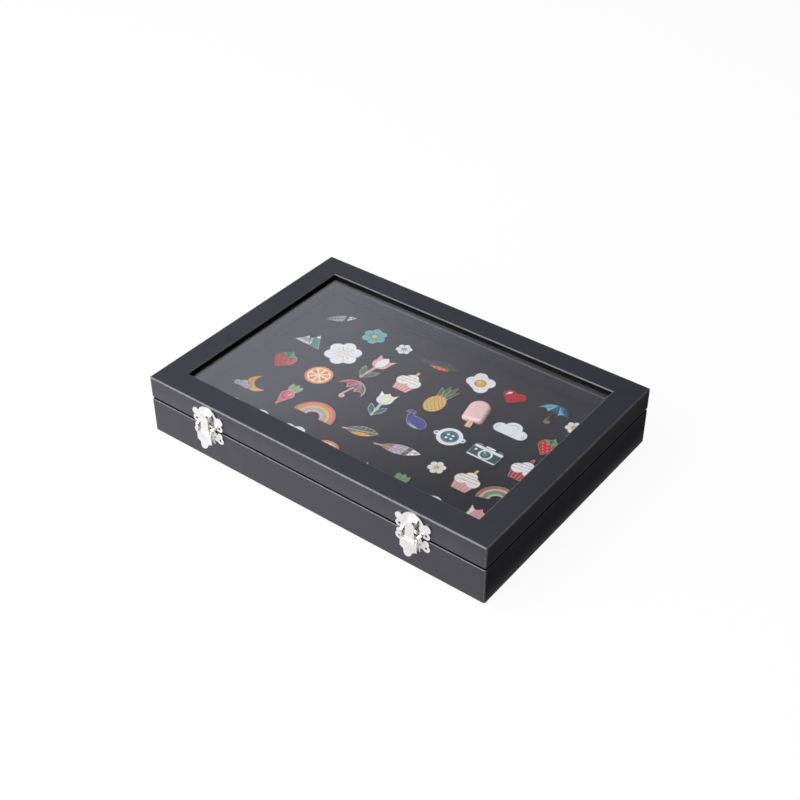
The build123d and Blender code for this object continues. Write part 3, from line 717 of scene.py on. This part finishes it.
def stroke(ax, ay, bx, by, width):
    """A thin bar from point to point."""
    turn = degrees(atan2(by - ay, bx - ax))
    return bar((ax + bx) / 2, (ay + by) / 2, hypot(bx - ax, by - ay), width, turn)


def band(x, y, outer, inner, start=0.0, end=180.0, steps=32):
    """Part of a ring."""
    return arc((x, y), outer, start, end, steps) + arc((x, y), inner, end, start, steps)


def crescent(x, y, radius, cut_x, cut_y, cut_radius, steps=28):
    """A disc less another disc."""
    gap = hypot(cut_x - x, cut_y - y)
    toward = degrees(atan2(cut_y - y, cut_x - x))
    along = (radius * radius - cut_radius * cut_radius + gap * gap) / (2 * gap)
    half = degrees(acos(along / radius))
    cut_half = degrees(acos((gap - along) / cut_radius))
    outside = arc((x, y), radius, toward + half, toward + 360 - half, steps)
    inside = arc((cut_x, cut_y), cut_radius, toward + 180 + cut_half, toward + 180 - cut_half, steps)
    return outside + inside[1:-1]


def inset(outline, distance):
    """The outline moved inward, counterclockwise, with its corners kept short."""
    area = sum(a[0] * b[1] - b[0] * a[1] for a, b in zip(outline, outline[1:] + outline[:1]))
    rim = outline if area > 0 else outline[::-1]
    moved = []
    for i, point in enumerate(rim):
        here, before, after = Vector(point), Vector(rim[i - 1]), Vector(rim[(i + 1) % len(rim)])
        one = (here - before).normalized()
        two = (after - here).normalized()
        side = Vector((-one.y, one.x))
        normal = Vector((-one.y - two.y, one.x + two.x))
        if normal.length < 0.2:
            normal = side.copy()
        normal.normalize()
        moved.append(tuple(here + normal * distance / max(normal.dot(side), 0.5)))
    return moved


class Design:
    """What a pin shows: outlines laid over each other in order, each of metal or of one enamel."""

    def __init__(self, rim):
        self.rim = rim
        self.layers = []

    def bare(self, *outlines):
        """Metal, which may reach past what is there."""
        self.layers += [("metal", None, outline) for outline in outlines]

    def cell(self, colour, *outlines):
        """Enamel with a metal rim round it."""
        self.bare(*outlines)
        self.layers += [("fill", colour, inset(outline, self.rim)) for outline in outlines]

    def fill(self, colour, *outlines):
        """Enamel without a rim of its own."""
        self.layers += [("fill", colour, outline) for outline in outlines]

    def paint(self, colour, *outlines):
        """Enamel of another colour, only where there is enamel."""
        self.layers += [("paint", colour, outline) for outline in outlines]

    def line(self, *outlines):
        """Raised metal, only where there is enamel."""
        self.layers += [("line", None, outline) for outline in outlines]

    def ridges(self, width, *ends):
        """Raised straight lines of this width between (x, y, x, y) ends."""
        self.line(*(stroke(*four, width) for four in ends))


def feather(d, tip, middle, root):
    d.bare(bar(-0.45, 0, 0.24, 0.05))
    d.cell(middle, lens(0, 0, 0.9, 0.3))
    d.paint(tip, bar(0.36, 0.0, 0.3, 0.4, -18))
    d.paint("leaf", bar(0.14, -0.03, 0.1, 0.4, -18))
    d.paint(root, bar(-0.36, 0.0, 0.3, 0.4, -18))
    d.ridges(0.022, (-0.45, 0, 0.38, 0))
    for i in range(7):
        x = -0.3 + 0.1 * i
        d.ridges(0.012, (x, 0, x + 0.08, 0.16), (x, 0, x + 0.08, -0.16))


def leaf(d, main, belly):
    d.bare(bar(-0.45, 0, 0.16, 0.06))
    d.cell(main, lens(0, 0, 0.9, 0.38))
    d.paint(belly, lens(0.0, -0.13, 0.7, 0.16))
    d.ridges(0.026, (-0.45, 0, 0.4, 0))
    for i in range(5):
        x = -0.28 + 0.13 * i
        d.ridges(0.016, (x, 0, x + 0.12, 0.18), (x, 0, x + 0.12, -0.18))


def daisy(d, petals, heart_colour):
    around = [radians(90 + 60 * i) for i in range(6)]
    rim = [disc(0.3 * cos(t), 0.3 * sin(t), 0.2) for t in around]
    d.cell(petals, *rim, disc(0, 0, 0.24))
    for t in around:
        u = t + radians(30)
        d.ridges(0.022, (0.12 * cos(u), 0.12 * sin(u), 0.33 * cos(u), 0.33 * sin(u)))
        d.ridges(0.014, (0.16 * cos(t), 0.16 * sin(t), 0.3 * cos(t), 0.3 * sin(t)))
    d.cell(heart_colour, disc(0, 0, 0.135))


def egg(d):
    white = [disc(0, 0, 0.38), disc(0.22, 0.12, 0.26), disc(0.16, -0.22, 0.26)]
    white += [disc(-0.14, 0.26, 0.24), disc(-0.25, -0.04, 0.24)]
    d.cell("white", *white)
    d.cell("amber", disc(0.02, -0.02, 0.19))
    d.paint("yellow", disc(0.01, 0.0, 0.13))
    d.paint("cream", oval(-0.05, 0.05, 0.045, 0.03, 40))


def heart(d):
    point = [(-0.45, 0), (0, -0.46), (0.45, 0), (0, 0.28)]
    d.cell("red", disc(-0.23, 0.14, 0.27), disc(0.23, 0.14, 0.27), point)
    d.paint("white", oval(-0.27, 0.2, 0.1, 0.055, 45), oval(-0.33, 0.06, 0.035, 0.035))


def umbrella(d, one, two):
    d.bare(bar(0, -0.06, 0.07, 0.62), disc(0.07, -0.36, 0.1))
    scallops = []
    for x in (0.33, 0.0, -0.33):
        scallops += arc((x, 0), 0.15, 0, 180, 12)
    canopy = arc((0, 0), 0.5, 180, 0, 40) + scallops
    d.cell(one, canopy)
    top = (0, 0.5)
    for left, right in ((-0.5, -0.165), (0.165, 0.5)):
        d.paint(two, [top, (left, 0.3 if left < -0.4 else 0), (left, -0.05), (right, -0.05), (right, 0.0)])
    for x in (-0.165, 0.165):
        d.ridges(0.022, (*top, x, 0.02))
    for x in (-0.42, 0.42):
        d.ridges(0.012, (*top, x, 0.0))
    d.line(band(0, 0, 0.475, 0.455, 20, 160))


def mountain(d):
    d.cell("grey", [(-0.5, -0.3), (-0.2, 0.14), (-0.1, 0.03), (0.1, 0.34), (0.5, -0.3)])
    d.paint("teal", [(0.1, 0.36), (-0.02, 0.15), (0.14, -0.32), (0.6, -0.32)])
    right = [(0.1, 0.36), (-0.02, 0.17), (0.04, 0.2), (0.09, 0.14), (0.15, 0.2), (0.24, 0.12)]
    left = [(-0.2, 0.2), (-0.3, 0), (-0.24, 0.02), (-0.2, -0.03), (-0.14, 0.03), (-0.08, 0.02)]
    d.paint("white", right, left, [(-0.5, -0.3), (-0.36, -0.14), (-0.1, -0.2), (0.1, -0.1), (0.12, -0.3)])
    d.ridges(0.02, (-0.1, 0.03, 0.12, -0.32))


def tulip(d, petals, middle):
    d.bare(bar(0, -0.2, 0.08, 0.6))
    d.cell("leaf", lens(-0.12, -0.26, 0.44, 0.17, 118), lens(0.12, -0.26, 0.44, 0.17, 62))
    crown = [(-0.19, 0.2), (-0.25, 0.5), (-0.1, 0.38), (0, 0.5), (0.1, 0.38), (0.25, 0.5), (0.19, 0.2)]
    d.cell(petals, disc(0, 0.22, 0.22), crown)
    d.line(lens(0, 0.25, 0.5, 0.27, 90))
    d.fill(middle, inset(lens(0, 0.25, 0.5, 0.27, 90), d.rim * 0.7))


def cupcake(d, icing, cup, candle):
    d.cell(candle, bar(0, 0.58, 0.12, 0.26))
    d.cell(cup, [(-0.42, 0.02), (-0.28, -0.5), (0.28, -0.5), (0.42, 0.02)])
    for i in range(4):
        x = -0.24 + 0.16 * i
        d.ridges(0.02, (x, 0.02, x * 0.7, -0.5))
    d.cell(icing, disc(-0.22, 0.06, 0.26), disc(0.22, 0.06, 0.26), disc(0, 0.26, 0.26))
    for low, high in ((0.0, 0.1), (0.16, 0.26), (0.3, 0.38)):
        d.ridges(0.022, (-0.4, low, 0.4, high))


def pineapple(d):
    crown = [(-0.12, 0), (-0.2, 0.32), (-0.09, 0.24), (-0.06, 0.44), (0.02, 0.3), (0.1, 0.5)]
    crown += [(0.12, 0.26), (0.21, 0.36), (0.12, 0)]
    d.cell("leaf", crown)
    d.ridges(0.02, (0, 0, -0.1, 0.24), (0, 0, 0.02, 0.34), (0, 0, 0.12, 0.26))
    fruit = oval(0, -0.22, 0.21, 0.28)
    d.cell("yellow", fruit)
    for i in range(7):
        shift = -0.3 + 0.1 * i
        d.ridges(0.018, (shift - 0.25, -0.52, shift + 0.25, 0.08))
        d.ridges(0.018, (shift + 0.25, -0.52, shift - 0.25, 0.08))


def cloud(d):
    puffs = [disc(0, 0.08, 0.26), disc(-0.3, -0.06, 0.2), disc(0.3, -0.06, 0.2)]
    d.cell("white", *puffs, bar(0, -0.14, 0.6, 0.24))
    sides = [band(-0.3, -0.08, 0.12, 0.1, 110, 220), band(0.3, -0.08, 0.12, 0.1, -40, 70)]
    d.paint("sky", band(0, 0.06, 0.17, 0.15, 40, 140), *sides)


def strawberry(d):
    point = [(-0.34, -0.1), (0, -0.5), (0.34, -0.1), (0, 0.1)]
    d.cell("red", disc(-0.1, 0.04, 0.28), disc(0.1, 0.04, 0.28), point)
    for y, count in ((0.08, 4), (-0.06, 3), (-0.2, 2), (-0.33, 1)):
        for i in range(count):
            x = (i - (count - 1) / 2) * 0.17
            d.paint("yellow", oval(x, y, 0.018, 0.03))
    d.cell("mint", [(-0.32, 0.26), (-0.1, 0.36), (0, 0.5), (0.1, 0.36), (0.32, 0.26), (0, 0.1)])
    d.paint("leaf", [(-0.02, 0.14), (-0.14, 0.3), (0, 0.4), (0.02, 0.14)])


def citrus(d):
    d.cell("orange", disc(0, 0, 0.5))
    d.paint("cream", disc(0, 0, 0.415))
    for i in range(8):
        t = radians(22.5 + 45 * i)
        rim = ((0.07, t), (0.34, t - radians(17)), (0.385, t), (0.34, t + radians(17)))
        d.paint("orange" if i % 2 else "amber", [(r * cos(u), r * sin(u)) for r, u in rim])


def whale(d):
    tail = [(-0.14, 0.16), (-0.4, 0.24), (-0.36, 0), (-0.12, -0.2)]
    flukes = [lens(-0.44, 0.2, 0.26, 0.13, 60), lens(-0.34, 0.26, 0.26, 0.13, 5)]
    d.cell("indigo", oval(0.12, -0.04, 0.37, 0.26), tail, *flukes)
    d.paint("sky", lens(0.18, -0.26, 0.5, 0.16, 6))
    for i in range(4):
        x = 0.02 + 0.1 * i
        d.ridges(0.012, (x, -0.31, x + 0.01, -0.19))
    d.line(band(0.02, -0.1, 0.12, 0.1, 200, 300))


def button(d):
    d.cell("white", disc(0, 0, 0.42), disc(-0.42, 0, 0.12), disc(0.42, 0, 0.12))
    d.paint("sky", disc(-0.45, 0, 0.05), disc(0.45, 0, 0.05))
    d.cell("petrol", disc(0, 0, 0.29))
    d.paint("teal", band(0, 0, 0.25, 0.2, 20, 160), band(0, 0, 0.25, 0.2, 200, 340))
    for x, y in ((-0.08, -0.08), (0.08, -0.08), (-0.08, 0.08), (0.08, 0.08)):
        d.cell("white", disc(x, y, 0.058))


def camera(d):
    knobs = [bar(-0.36, 0.27, 0.14, 0.08), bar(0.36, 0.27, 0.14, 0.08)]
    d.cell("pine", bar(0, -0.04, 1, 0.56), bar(0, 0.28, 0.34, 0.1), *knobs)
    d.paint("white", bar(0, 0.19, 1.1, 0.13), bar(0, -0.29, 1.1, 0.06), bar(0, 0.28, 0.3, 0.2))
    d.ridges(0.018, (-0.5, 0.12, 0.5, 0.12), (-0.5, -0.25, 0.5, -0.25))
    d.cell("white", disc(0.02, -0.05, 0.235))
    d.cell("petrol", disc(0.02, -0.05, 0.17))
    d.paint("teal", disc(0.02, -0.05, 0.09))
    d.paint("white", oval(-0.04, 0.02, 0.035, 0.02, 40), disc(-0.36, 0.02, 0.045))


def moon(d):
    d.cell("amber", crescent(0.16, 0.02, 0.34, 0.32, 0.16, 0.3))
    d.paint("yellow", band(0.16, 0.02, 0.31, 0.25, 170, 300))
    puffs = [disc(-0.32, -0.24, 0.12), disc(-0.16, -0.16, 0.12), disc(0, -0.24, 0.12)]
    d.cell("grey", *puffs, bar(-0.16, -0.27, 0.44, 0.14))
    d.paint("white", band(-0.16, -0.17, 0.08, 0.06, 40, 150), band(-0.32, -0.25, 0.07, 0.05, 80, 190))


def radish(d):
    leaves = [lens(-0.1, 0.3, 0.38, 0.18, 110), lens(0, 0.32, 0.38, 0.18, 90), lens(0.1, 0.3, 0.38, 0.18, 70)]
    d.cell("mint", *leaves)
    d.ridges(0.02, (-0.06, 0.14, -0.14, 0.42), (0, 0.14, 0, 0.46), (0.06, 0.14, 0.14, 0.42))
    d.cell("rose", disc(0, 0, 0.2), [(-0.16, -0.1), (0, -0.5), (0.16, -0.1), (0, 0.1)])
    d.paint("red", crescent(0, 0, 0.17, 0.06, 0.05, 0.17))
    d.paint("pink", oval(0.06, 0.05, 0.03, 0.07, -20))


def rainbow(d, *colours):
    outer, inner = 0.5, 0.16
    step = (outer - inner) / len(colours)
    d.bare(band(0, -0.25, outer, inner))
    for i, colour in enumerate(colours):
        r = outer - i * step
        d.fill(colour, inset(band(0, -0.25, r, r - step), d.rim * 0.6))


def lolly(d):
    d.cell("tan", bar(0, -0.36, 0.15, 0.28))
    d.paint("cream", bar(-0.03, -0.4, 0.02, 0.3))


# ---- Pins ----
PIN_HIGH = 1.5
ENAMEL_HIGH = 1.38
RIM = 0.42
POST = ((0.5, -0.02), (0.5, -7.0), (0.08, -8.0))  # (radius, height) points down a needle's side
POST_SIDES = 8
PIN_COLUMNS = 8
PIN_ROWS = 5
PIN_MARGIN = (29.6, 28.6)
PINS_SHIFT_Y = -1.3

# Each pin is (column, row, turn in degrees, size, metal, colours), counted from the back left.
PINS = {
    feather: [
        (0, -0.1, 38, 29, SILVER, "white", "grey", "lilac"),
        (4.38, 3, 16, 36, ROSE, "white", "lilac", "brown"),
    ],
    daisy: [
        (1.17, 0, 20, 21, GOLD, "sky", "yellow"),
        (2.1, 0, 0, 14, SILVER, "white", "grey"),
        (7.1, 0.1, 0, 14, SILVER, "white", "yellow"),
        (1, 1, 8, 30, SILVER, "white", "cream"),
        (5.4, 3, 0, 14, GOLD, "white", "yellow"),
    ],
    leaf: [(3.25, 0, 8, 31, GOLD, "pine", "orange"), (3.28, 3, 20, 29, ROSE, "leaf", "amber")],
    egg: [(4.4, 0, 0, 24, SILVER), (2, 4, 30, 22, SILVER)],
    heart: [(5.35, 0, 0, 19, GOLD), (0, 4, 0, 19, GOLD)],
    umbrella: [(6.42, 0, 0, 26, GOLD, "blue", "sky"), (2.05, 2, -12, 25, ROSE, "petrol", "red")],
    mountain: [(0, 1, 0, 25, SILVER), (4, 4, 0, 25, SILVER)],
    tulip: [
        (2, 1, -6, 33, ROSE, "pink", "white"),
        (3, 2, 8, 30, SILVER, "white", "cream"),
        (7, 4, 0, 34, ROSE, "white", "pink"),
    ],
    cupcake: [
        (3, 1, 0, 22, GOLD, "white", "pink", "yellow"),
        (7, 2, 0, 21, SILVER, "white", "red", "red"),
        (6.2, 3, 0, 21, GOLD, "white", "pink", "yellow"),
    ],
    pineapple: [(4, 1, 0, 38, GOLD)],
    cloud: [(6, 1, 0, 28, SILVER), (1, 4, 0, 26, SILVER), (6, 4, 0, 26, SILVER)],
    strawberry: [(0, 2, 0, 25, ROSE), (7, 1, 0, 22, ROSE)],
    citrus: [(1.1, 2, 0, 22, GOLD), (3, 4, 0, 22, GOLD)],
    whale: [(4, 2, -12, 24, ROSE)],
    button: [(5, 2, 8, 24, SILVER)],
    camera: [(6, 2, 0, 24, SILVER)],
    moon: [(0, 3.1, 0, 29, GOLD)],
    radish: [(1, 3, 0, 28, ROSE), (5, 4, 0, 28, ROSE)],
    rainbow: [
        (2, 3, 0, 35, GOLD, "rose", "orange", "yellow", "sky", "pink"),
        (7, 2.9, 18, 30, ROSE, "brown", "pink", "mint", "grey"),
    ],
    lolly: [(5, 1, 12, 34, GOLD)],
}


def pin_place(column, row, turn):
    """Where a pin lies on the felt, as a matrix in millimetres."""
    half = box_mm("felt_cover")[1]
    pitch_x = 2 * (half.x - PIN_MARGIN[0]) / (PIN_COLUMNS - 1)
    pitch_y = 2 * (half.y - PIN_MARGIN[1]) / (PIN_ROWS - 1)
    x = (column - (PIN_COLUMNS - 1) / 2) * pitch_x
    y = ((PIN_ROWS - 1) / 2 - row) * pitch_y + PINS_SHIFT_Y
    return Matrix.Translation((x, y, half.z)) @ Matrix.Rotation(radians(turn), 4, "Z")


def holds(outline, x, y):
    """Whether a point lies within an outline."""
    inside = False
    for (ax, ay), (bx, by) in zip(outline, outline[1:] + outline[:1]):
        if (ay > y) != (by > y) and x < ax + (y - ay) / (by - ay) * (bx - ax):
            inside = not inside
    return inside


def flat_cells(design):
    """Cuts the design's overlapping outlines into triangles, each with its enamel, or None for metal."""
    points, edges, frames = [], [], []
    for _, _, outline in design.layers:
        start, count = len(points), len(outline)
        edges += [(start + i, start + (i + 1) % count) for i in range(count)]
        points += [Vector(p) for p in outline]
        us, vs = zip(*outline)
        frames.append((min(us), min(vs), max(us), max(vs)))
    spots, _, triangles, _, _, _ = delaunay_2d_cdt(points, edges, [], 0, 1e-5)
    cells = []
    for triangle in triangles:
        middle = sum((spots[i] for i in triangle), Vector((0, 0))) / 3
        state = "empty"
        for (rule, colour, outline), (left, low, right, high) in zip(design.layers, frames):
            if not (left < middle.x < right and low < middle.y < high and holds(outline, *middle)):
                continue
            if rule == "metal" or (rule == "line" and state not in ("empty", "metal")):
                state = "metal"
            elif rule == "fill" or (rule == "paint" and state not in ("empty", "metal")):
                state = colour
        if state != "empty":
            cells.append((triangle, None if state == "metal" else state))
    return spots, cells


def pin_mesh(name, design, size, place, plating):
    """A stamped plate with raised metal lines, enamel between them and a needle post behind."""
    spots, cells = flat_cells(design)
    points, faces, looks, index = [], [], [], {}
    palette = [plating]

    def point(i, height):
        key = (i, height)
        if key not in index:
            index[key] = len(points)
            points.append(place @ Vector((spots[i].x * size, spots[i].y * size, height)))
        return index[key]

    walls = {}
    for triangle, colour in cells:
        height = ENAMEL_HIGH if colour else PIN_HIGH
        material = ENAMEL[colour] if colour else plating
        if material not in palette:
            palette.append(material)
        faces.append(tuple(point(i, height) for i in triangle))
        looks.append(palette.index(material))
        faces.append(tuple(point(i, 0.0) for i in reversed(triangle)))
        looks.append(0)
        for a, b in zip(triangle, (*triangle[1:], triangle[0])):
            walls.setdefault((min(a, b), max(a, b)), []).append((a, b, height))
    for sides in walls.values():
        (a, b, high), low = sides[0], 0.0
        if len(sides) == 2:
            if sides[1][2] == high:
                continue
            if sides[1][2] > high:
                sides.reverse()
            (a, b, high), low = sides[0], sides[1][2]
        faces.append((point(b, high), point(a, high), point(a, low), point(b, low)))
        looks.append(0)
    start = len(points)
    turned(points, faces, POST, place, POST_SIDES)
    faces.append(tuple(range(start, start + POST_SIDES)))
    looks += [0] * (len(faces) - len(looks))
    mesh = new_mesh(name, points, faces)
    for material in palette:
        mesh.materials.append(material)
    mesh.polygons.foreach_set("material_index", looks)
    return mesh


LOLLY_HIGH = 3.3
LOLLY_EDGE = 3.1  # how far its rounding reaches in
LOLLY_SIDE = 0.26
LOLLY_CORNER = 0.11


def lolly_ice(size, place, steps=7):
    """A cushion-shaped bar with a domed top: rings that step inward as they rise."""
    x = LOLLY_SIDE - LOLLY_CORNER
    outline = arc((0, 0.22), LOLLY_SIDE, 0, 180, 24)
    outline += arc((-x, -x), LOLLY_CORNER, 180, 270) + arc((x, -x), LOLLY_CORNER, 270, 360)
    rings = [(0.0, 0.0)]
    for step in range(steps + 1):
        turn = step / steps * pi / 2
        rings.append((LOLLY_EDGE * (1 - cos(turn)) / size, (0.15 + 0.85 * sin(turn)) * LOLLY_HIGH))
    points = []
    for distance, level in rings:
        points += [place @ Vector((u * size, v * size, level)) for u, v in inset(outline, distance)]
    count = len(outline)
    faces = ring_faces(0, len(rings), count)
    faces.append(tuple(range(len(points) - count, len(points))))
    faces.append(tuple(reversed(range(count))))
    return new_mesh("lolly_ice", points, faces, 50.0)


def make_pins():
    for draw, places in PINS.items():
        kind = draw.__name__
        for number, (column, row, turn, size, plating, *colours) in enumerate(places, 1):
            design = Design(RIM / size)
            draw(design, *colours)
            place = pin_place(column, row, turn)
            mesh = pin_mesh(f"{kind}_pin_{number}", design, size, place, plating)
            add_piece(mesh.name, mesh, "base", None, [f"pin_{kind}"])
            if draw is lolly:
                add_piece("lolly_ice", lolly_ice(size, place), "base", ENAMEL["blush"])


# ---- Stage, light and camera ----
FLOOR_SIZE = 8000.0
FLOOR_WHITE = 0.93  # the share of plain white, where the rest keeps the shadow
# How bright the floor is in reflections, and its colour under the lamps, along X in metres from -0.5: painted
# shade, darker to the right of the case as its shadow and darkest just beside it.
FLOOR_PAINTED_SHADE = ((0.4, 1.0), (0.645, 0.84), (0.655, 0.03), (0.675, 0.08), (0.7, 0.28))
FLOOR_TINT = (0.985, 0.985, 1.0)

# The panel that the glass reflects is a product of levels. Each changes along one axis of the direction, as
# (axis, from, to, level before, level after).
PANEL = (
    ("X", -0.67, -0.61, 0.0, 1.0),
    ("X", -0.62, -0.38, 1.22, 0.34),
    ("X", -0.34, -0.18, 1.0, 0.0),
    ("Y", 0.4, 0.52, 0.0, 1.0),
    ("Z", 0.45, 0.535, 0.0, 1.0),
    ("Z", 0.6, 0.68, 1.0, 0.38),
    ("Z", 0.68, 0.76, 1.0, 0.0),
)
ROOM = ("X", -0.62, -0.2, 0.26, 0.08)
ROOM_TINT = (0.88, 0.875, 1.0)
WHITE = (1.0, 1.0, 1.0)

# Each lamp is (place, width and height in millimetres, watts, colour). All face AIM.
AIM = (0, 0, 20)
LAMPS = {
    "key": ((-950, -1750, 700), (3000, 1300), 62, (0.99, 0.985, 1.0)),
    "overhead": ((-450, -350, 1500), (1600, 1600), 27, (1.0, 0.99, 0.98)),
}


def make_floor():
    """A pale floor that reads as white to the camera and keeps a faint shadow. In reflections it glows, and
    both there and under the lamps it carries a painted shadow to the right of the case.
    """
    s = Shader("floor")
    path = s.node("ShaderNodeLightPath")
    shown = s.math("MAXIMUM", path.outputs["Is Camera Ray"], path.outputs["Is Transmission Ray"])
    mirrored = path.outputs["Is Glossy Ray"]
    spot = s.node("ShaderNodeSeparateXYZ", {"Vector": s.place()})
    # Painted shade: the floor darkens to the right of the case, in reflections and under the lamps.
    painted_floor_light = s.ramp(s.math("ADD", spot.outputs["X"], 0.5), *FLOOR_PAINTED_SHADE)
    s.finish(s.mix(shown, painted_floor_light, (0.9, 0.9, 0.9)), 0.9, Specular_IOR_Level=0.0)
    tint = s.mix(mirrored, WHITE, FLOOR_TINT)
    # In reflections the floor glows with this painted light and shade.
    white = s.node("ShaderNodeEmission", {"Color": tint, "Strength": s.math("MAXIMUM", shown, painted_floor_light)})
    share = s.math("MAXIMUM", s.math("MULTIPLY", shown, FLOOR_WHITE), mirrored)
    s.overlay(share, white.outputs["Emission"])
    corners = [(x, y, 0) for x, y in bar(0, 0, FLOOR_SIZE, FLOOR_SIZE)]
    mesh = new_mesh("floor", corners, [(0, 1, 2, 3)])
    mesh.materials.append(s.material)
    floor = add_object("floor", mesh)


def make_world():
    """A dim pale room with one large soft panel, whose reflection lies in the glass, fading to the right.

    What is seen straight, or straight through the glass, is white.
    """
    world = bpy.data.worlds.new("room")
    bpy.context.scene.world = world
    world.use_nodes = True
    w = Nodes(world.node_tree)
    w.tree.nodes.clear()
    view = w.node("ShaderNodeTexCoord").outputs["Generated"]
    direction = w.node("ShaderNodeSeparateXYZ", {"Vector": view})

    def ranged(axis, *ends):
        keys = ("From Min", "From Max", "To Min", "To Max")
        inputs = {"Value": direction.outputs[axis], **dict(zip(keys, ends))}
        return w.node("ShaderNodeMapRange", inputs, interpolation_type="SMOOTHSTEP").outputs["Result"]

    panel = 1.0
    for change in PANEL:
        panel = w.math("MULTIPLY", panel, ranged(*change))
    path = w.node("ShaderNodeLightPath").outputs
    reflected = w.math("MINIMUM", path["Glossy Depth"], 1.0)
    through = w.math("SUBTRACT", path["Is Transmission Ray"], reflected)
    straight = w.math("MAXIMUM", path["Is Camera Ray"], through)
    level = w.math("MAXIMUM", w.math("ADD", panel, ranged(*ROOM)), straight)
    tint = w.mix(straight, ROOM_TINT, WHITE)
    background = w.node("ShaderNodeBackground", {"Color": tint, "Strength": level})
    w.node("ShaderNodeOutputWorld", {"Surface": background.outputs["Background"]})


def add_facing(name, data, place, target):
    """Adds a lamp or a camera at a place in millimetres, turned to its target."""
    made = add_object(name, data)
    made.location = Vector(place) * MM
    made.rotation_euler = (Vector(target) - Vector(place)).to_track_quat("-Z", "Y").to_euler()
    return made


def make_lamps():
    for name, (place, size, watts, colour) in LAMPS.items():
        data = bpy.data.lights.new(name, "AREA")
        data.shape = "RECTANGLE"
        data.size, data.size_y = (length * MM for length in size)
        data.energy = watts
        data.color = colour
        add_facing(name, data, place, AIM)


def make_camera():
    data = bpy.data.cameras.new("camera")
    data.lens = CAMERA_LENS
    data.sensor_width = SENSOR
    data.clip_start = 0.01
    data.clip_end = 50.0
    bpy.context.scene.camera = add_facing("camera", data, CAMERA_PLACE, CAMERA_TARGET)


make_coverings()
make_pad()
make_hardware()
make_pins()
for side in ("front", "right", "back", "left"):
    refinish(BOARD, f"base_wall_{side}", f"lid_wall_{side}")
    refinish(BEADING, f"lid_rail_{side}")
refinish(BOARD, "base_floor")
refinish(BEADING, "glass_beads_long", "glass_beads_short")
refinish(PAPER, "base_underside_sheet")
refinish(GLASS, "glass_pane")
make_floor()
make_world()
make_lamps()
make_camera()
bpy.context.scene.view_settings.view_transform = "Standard"
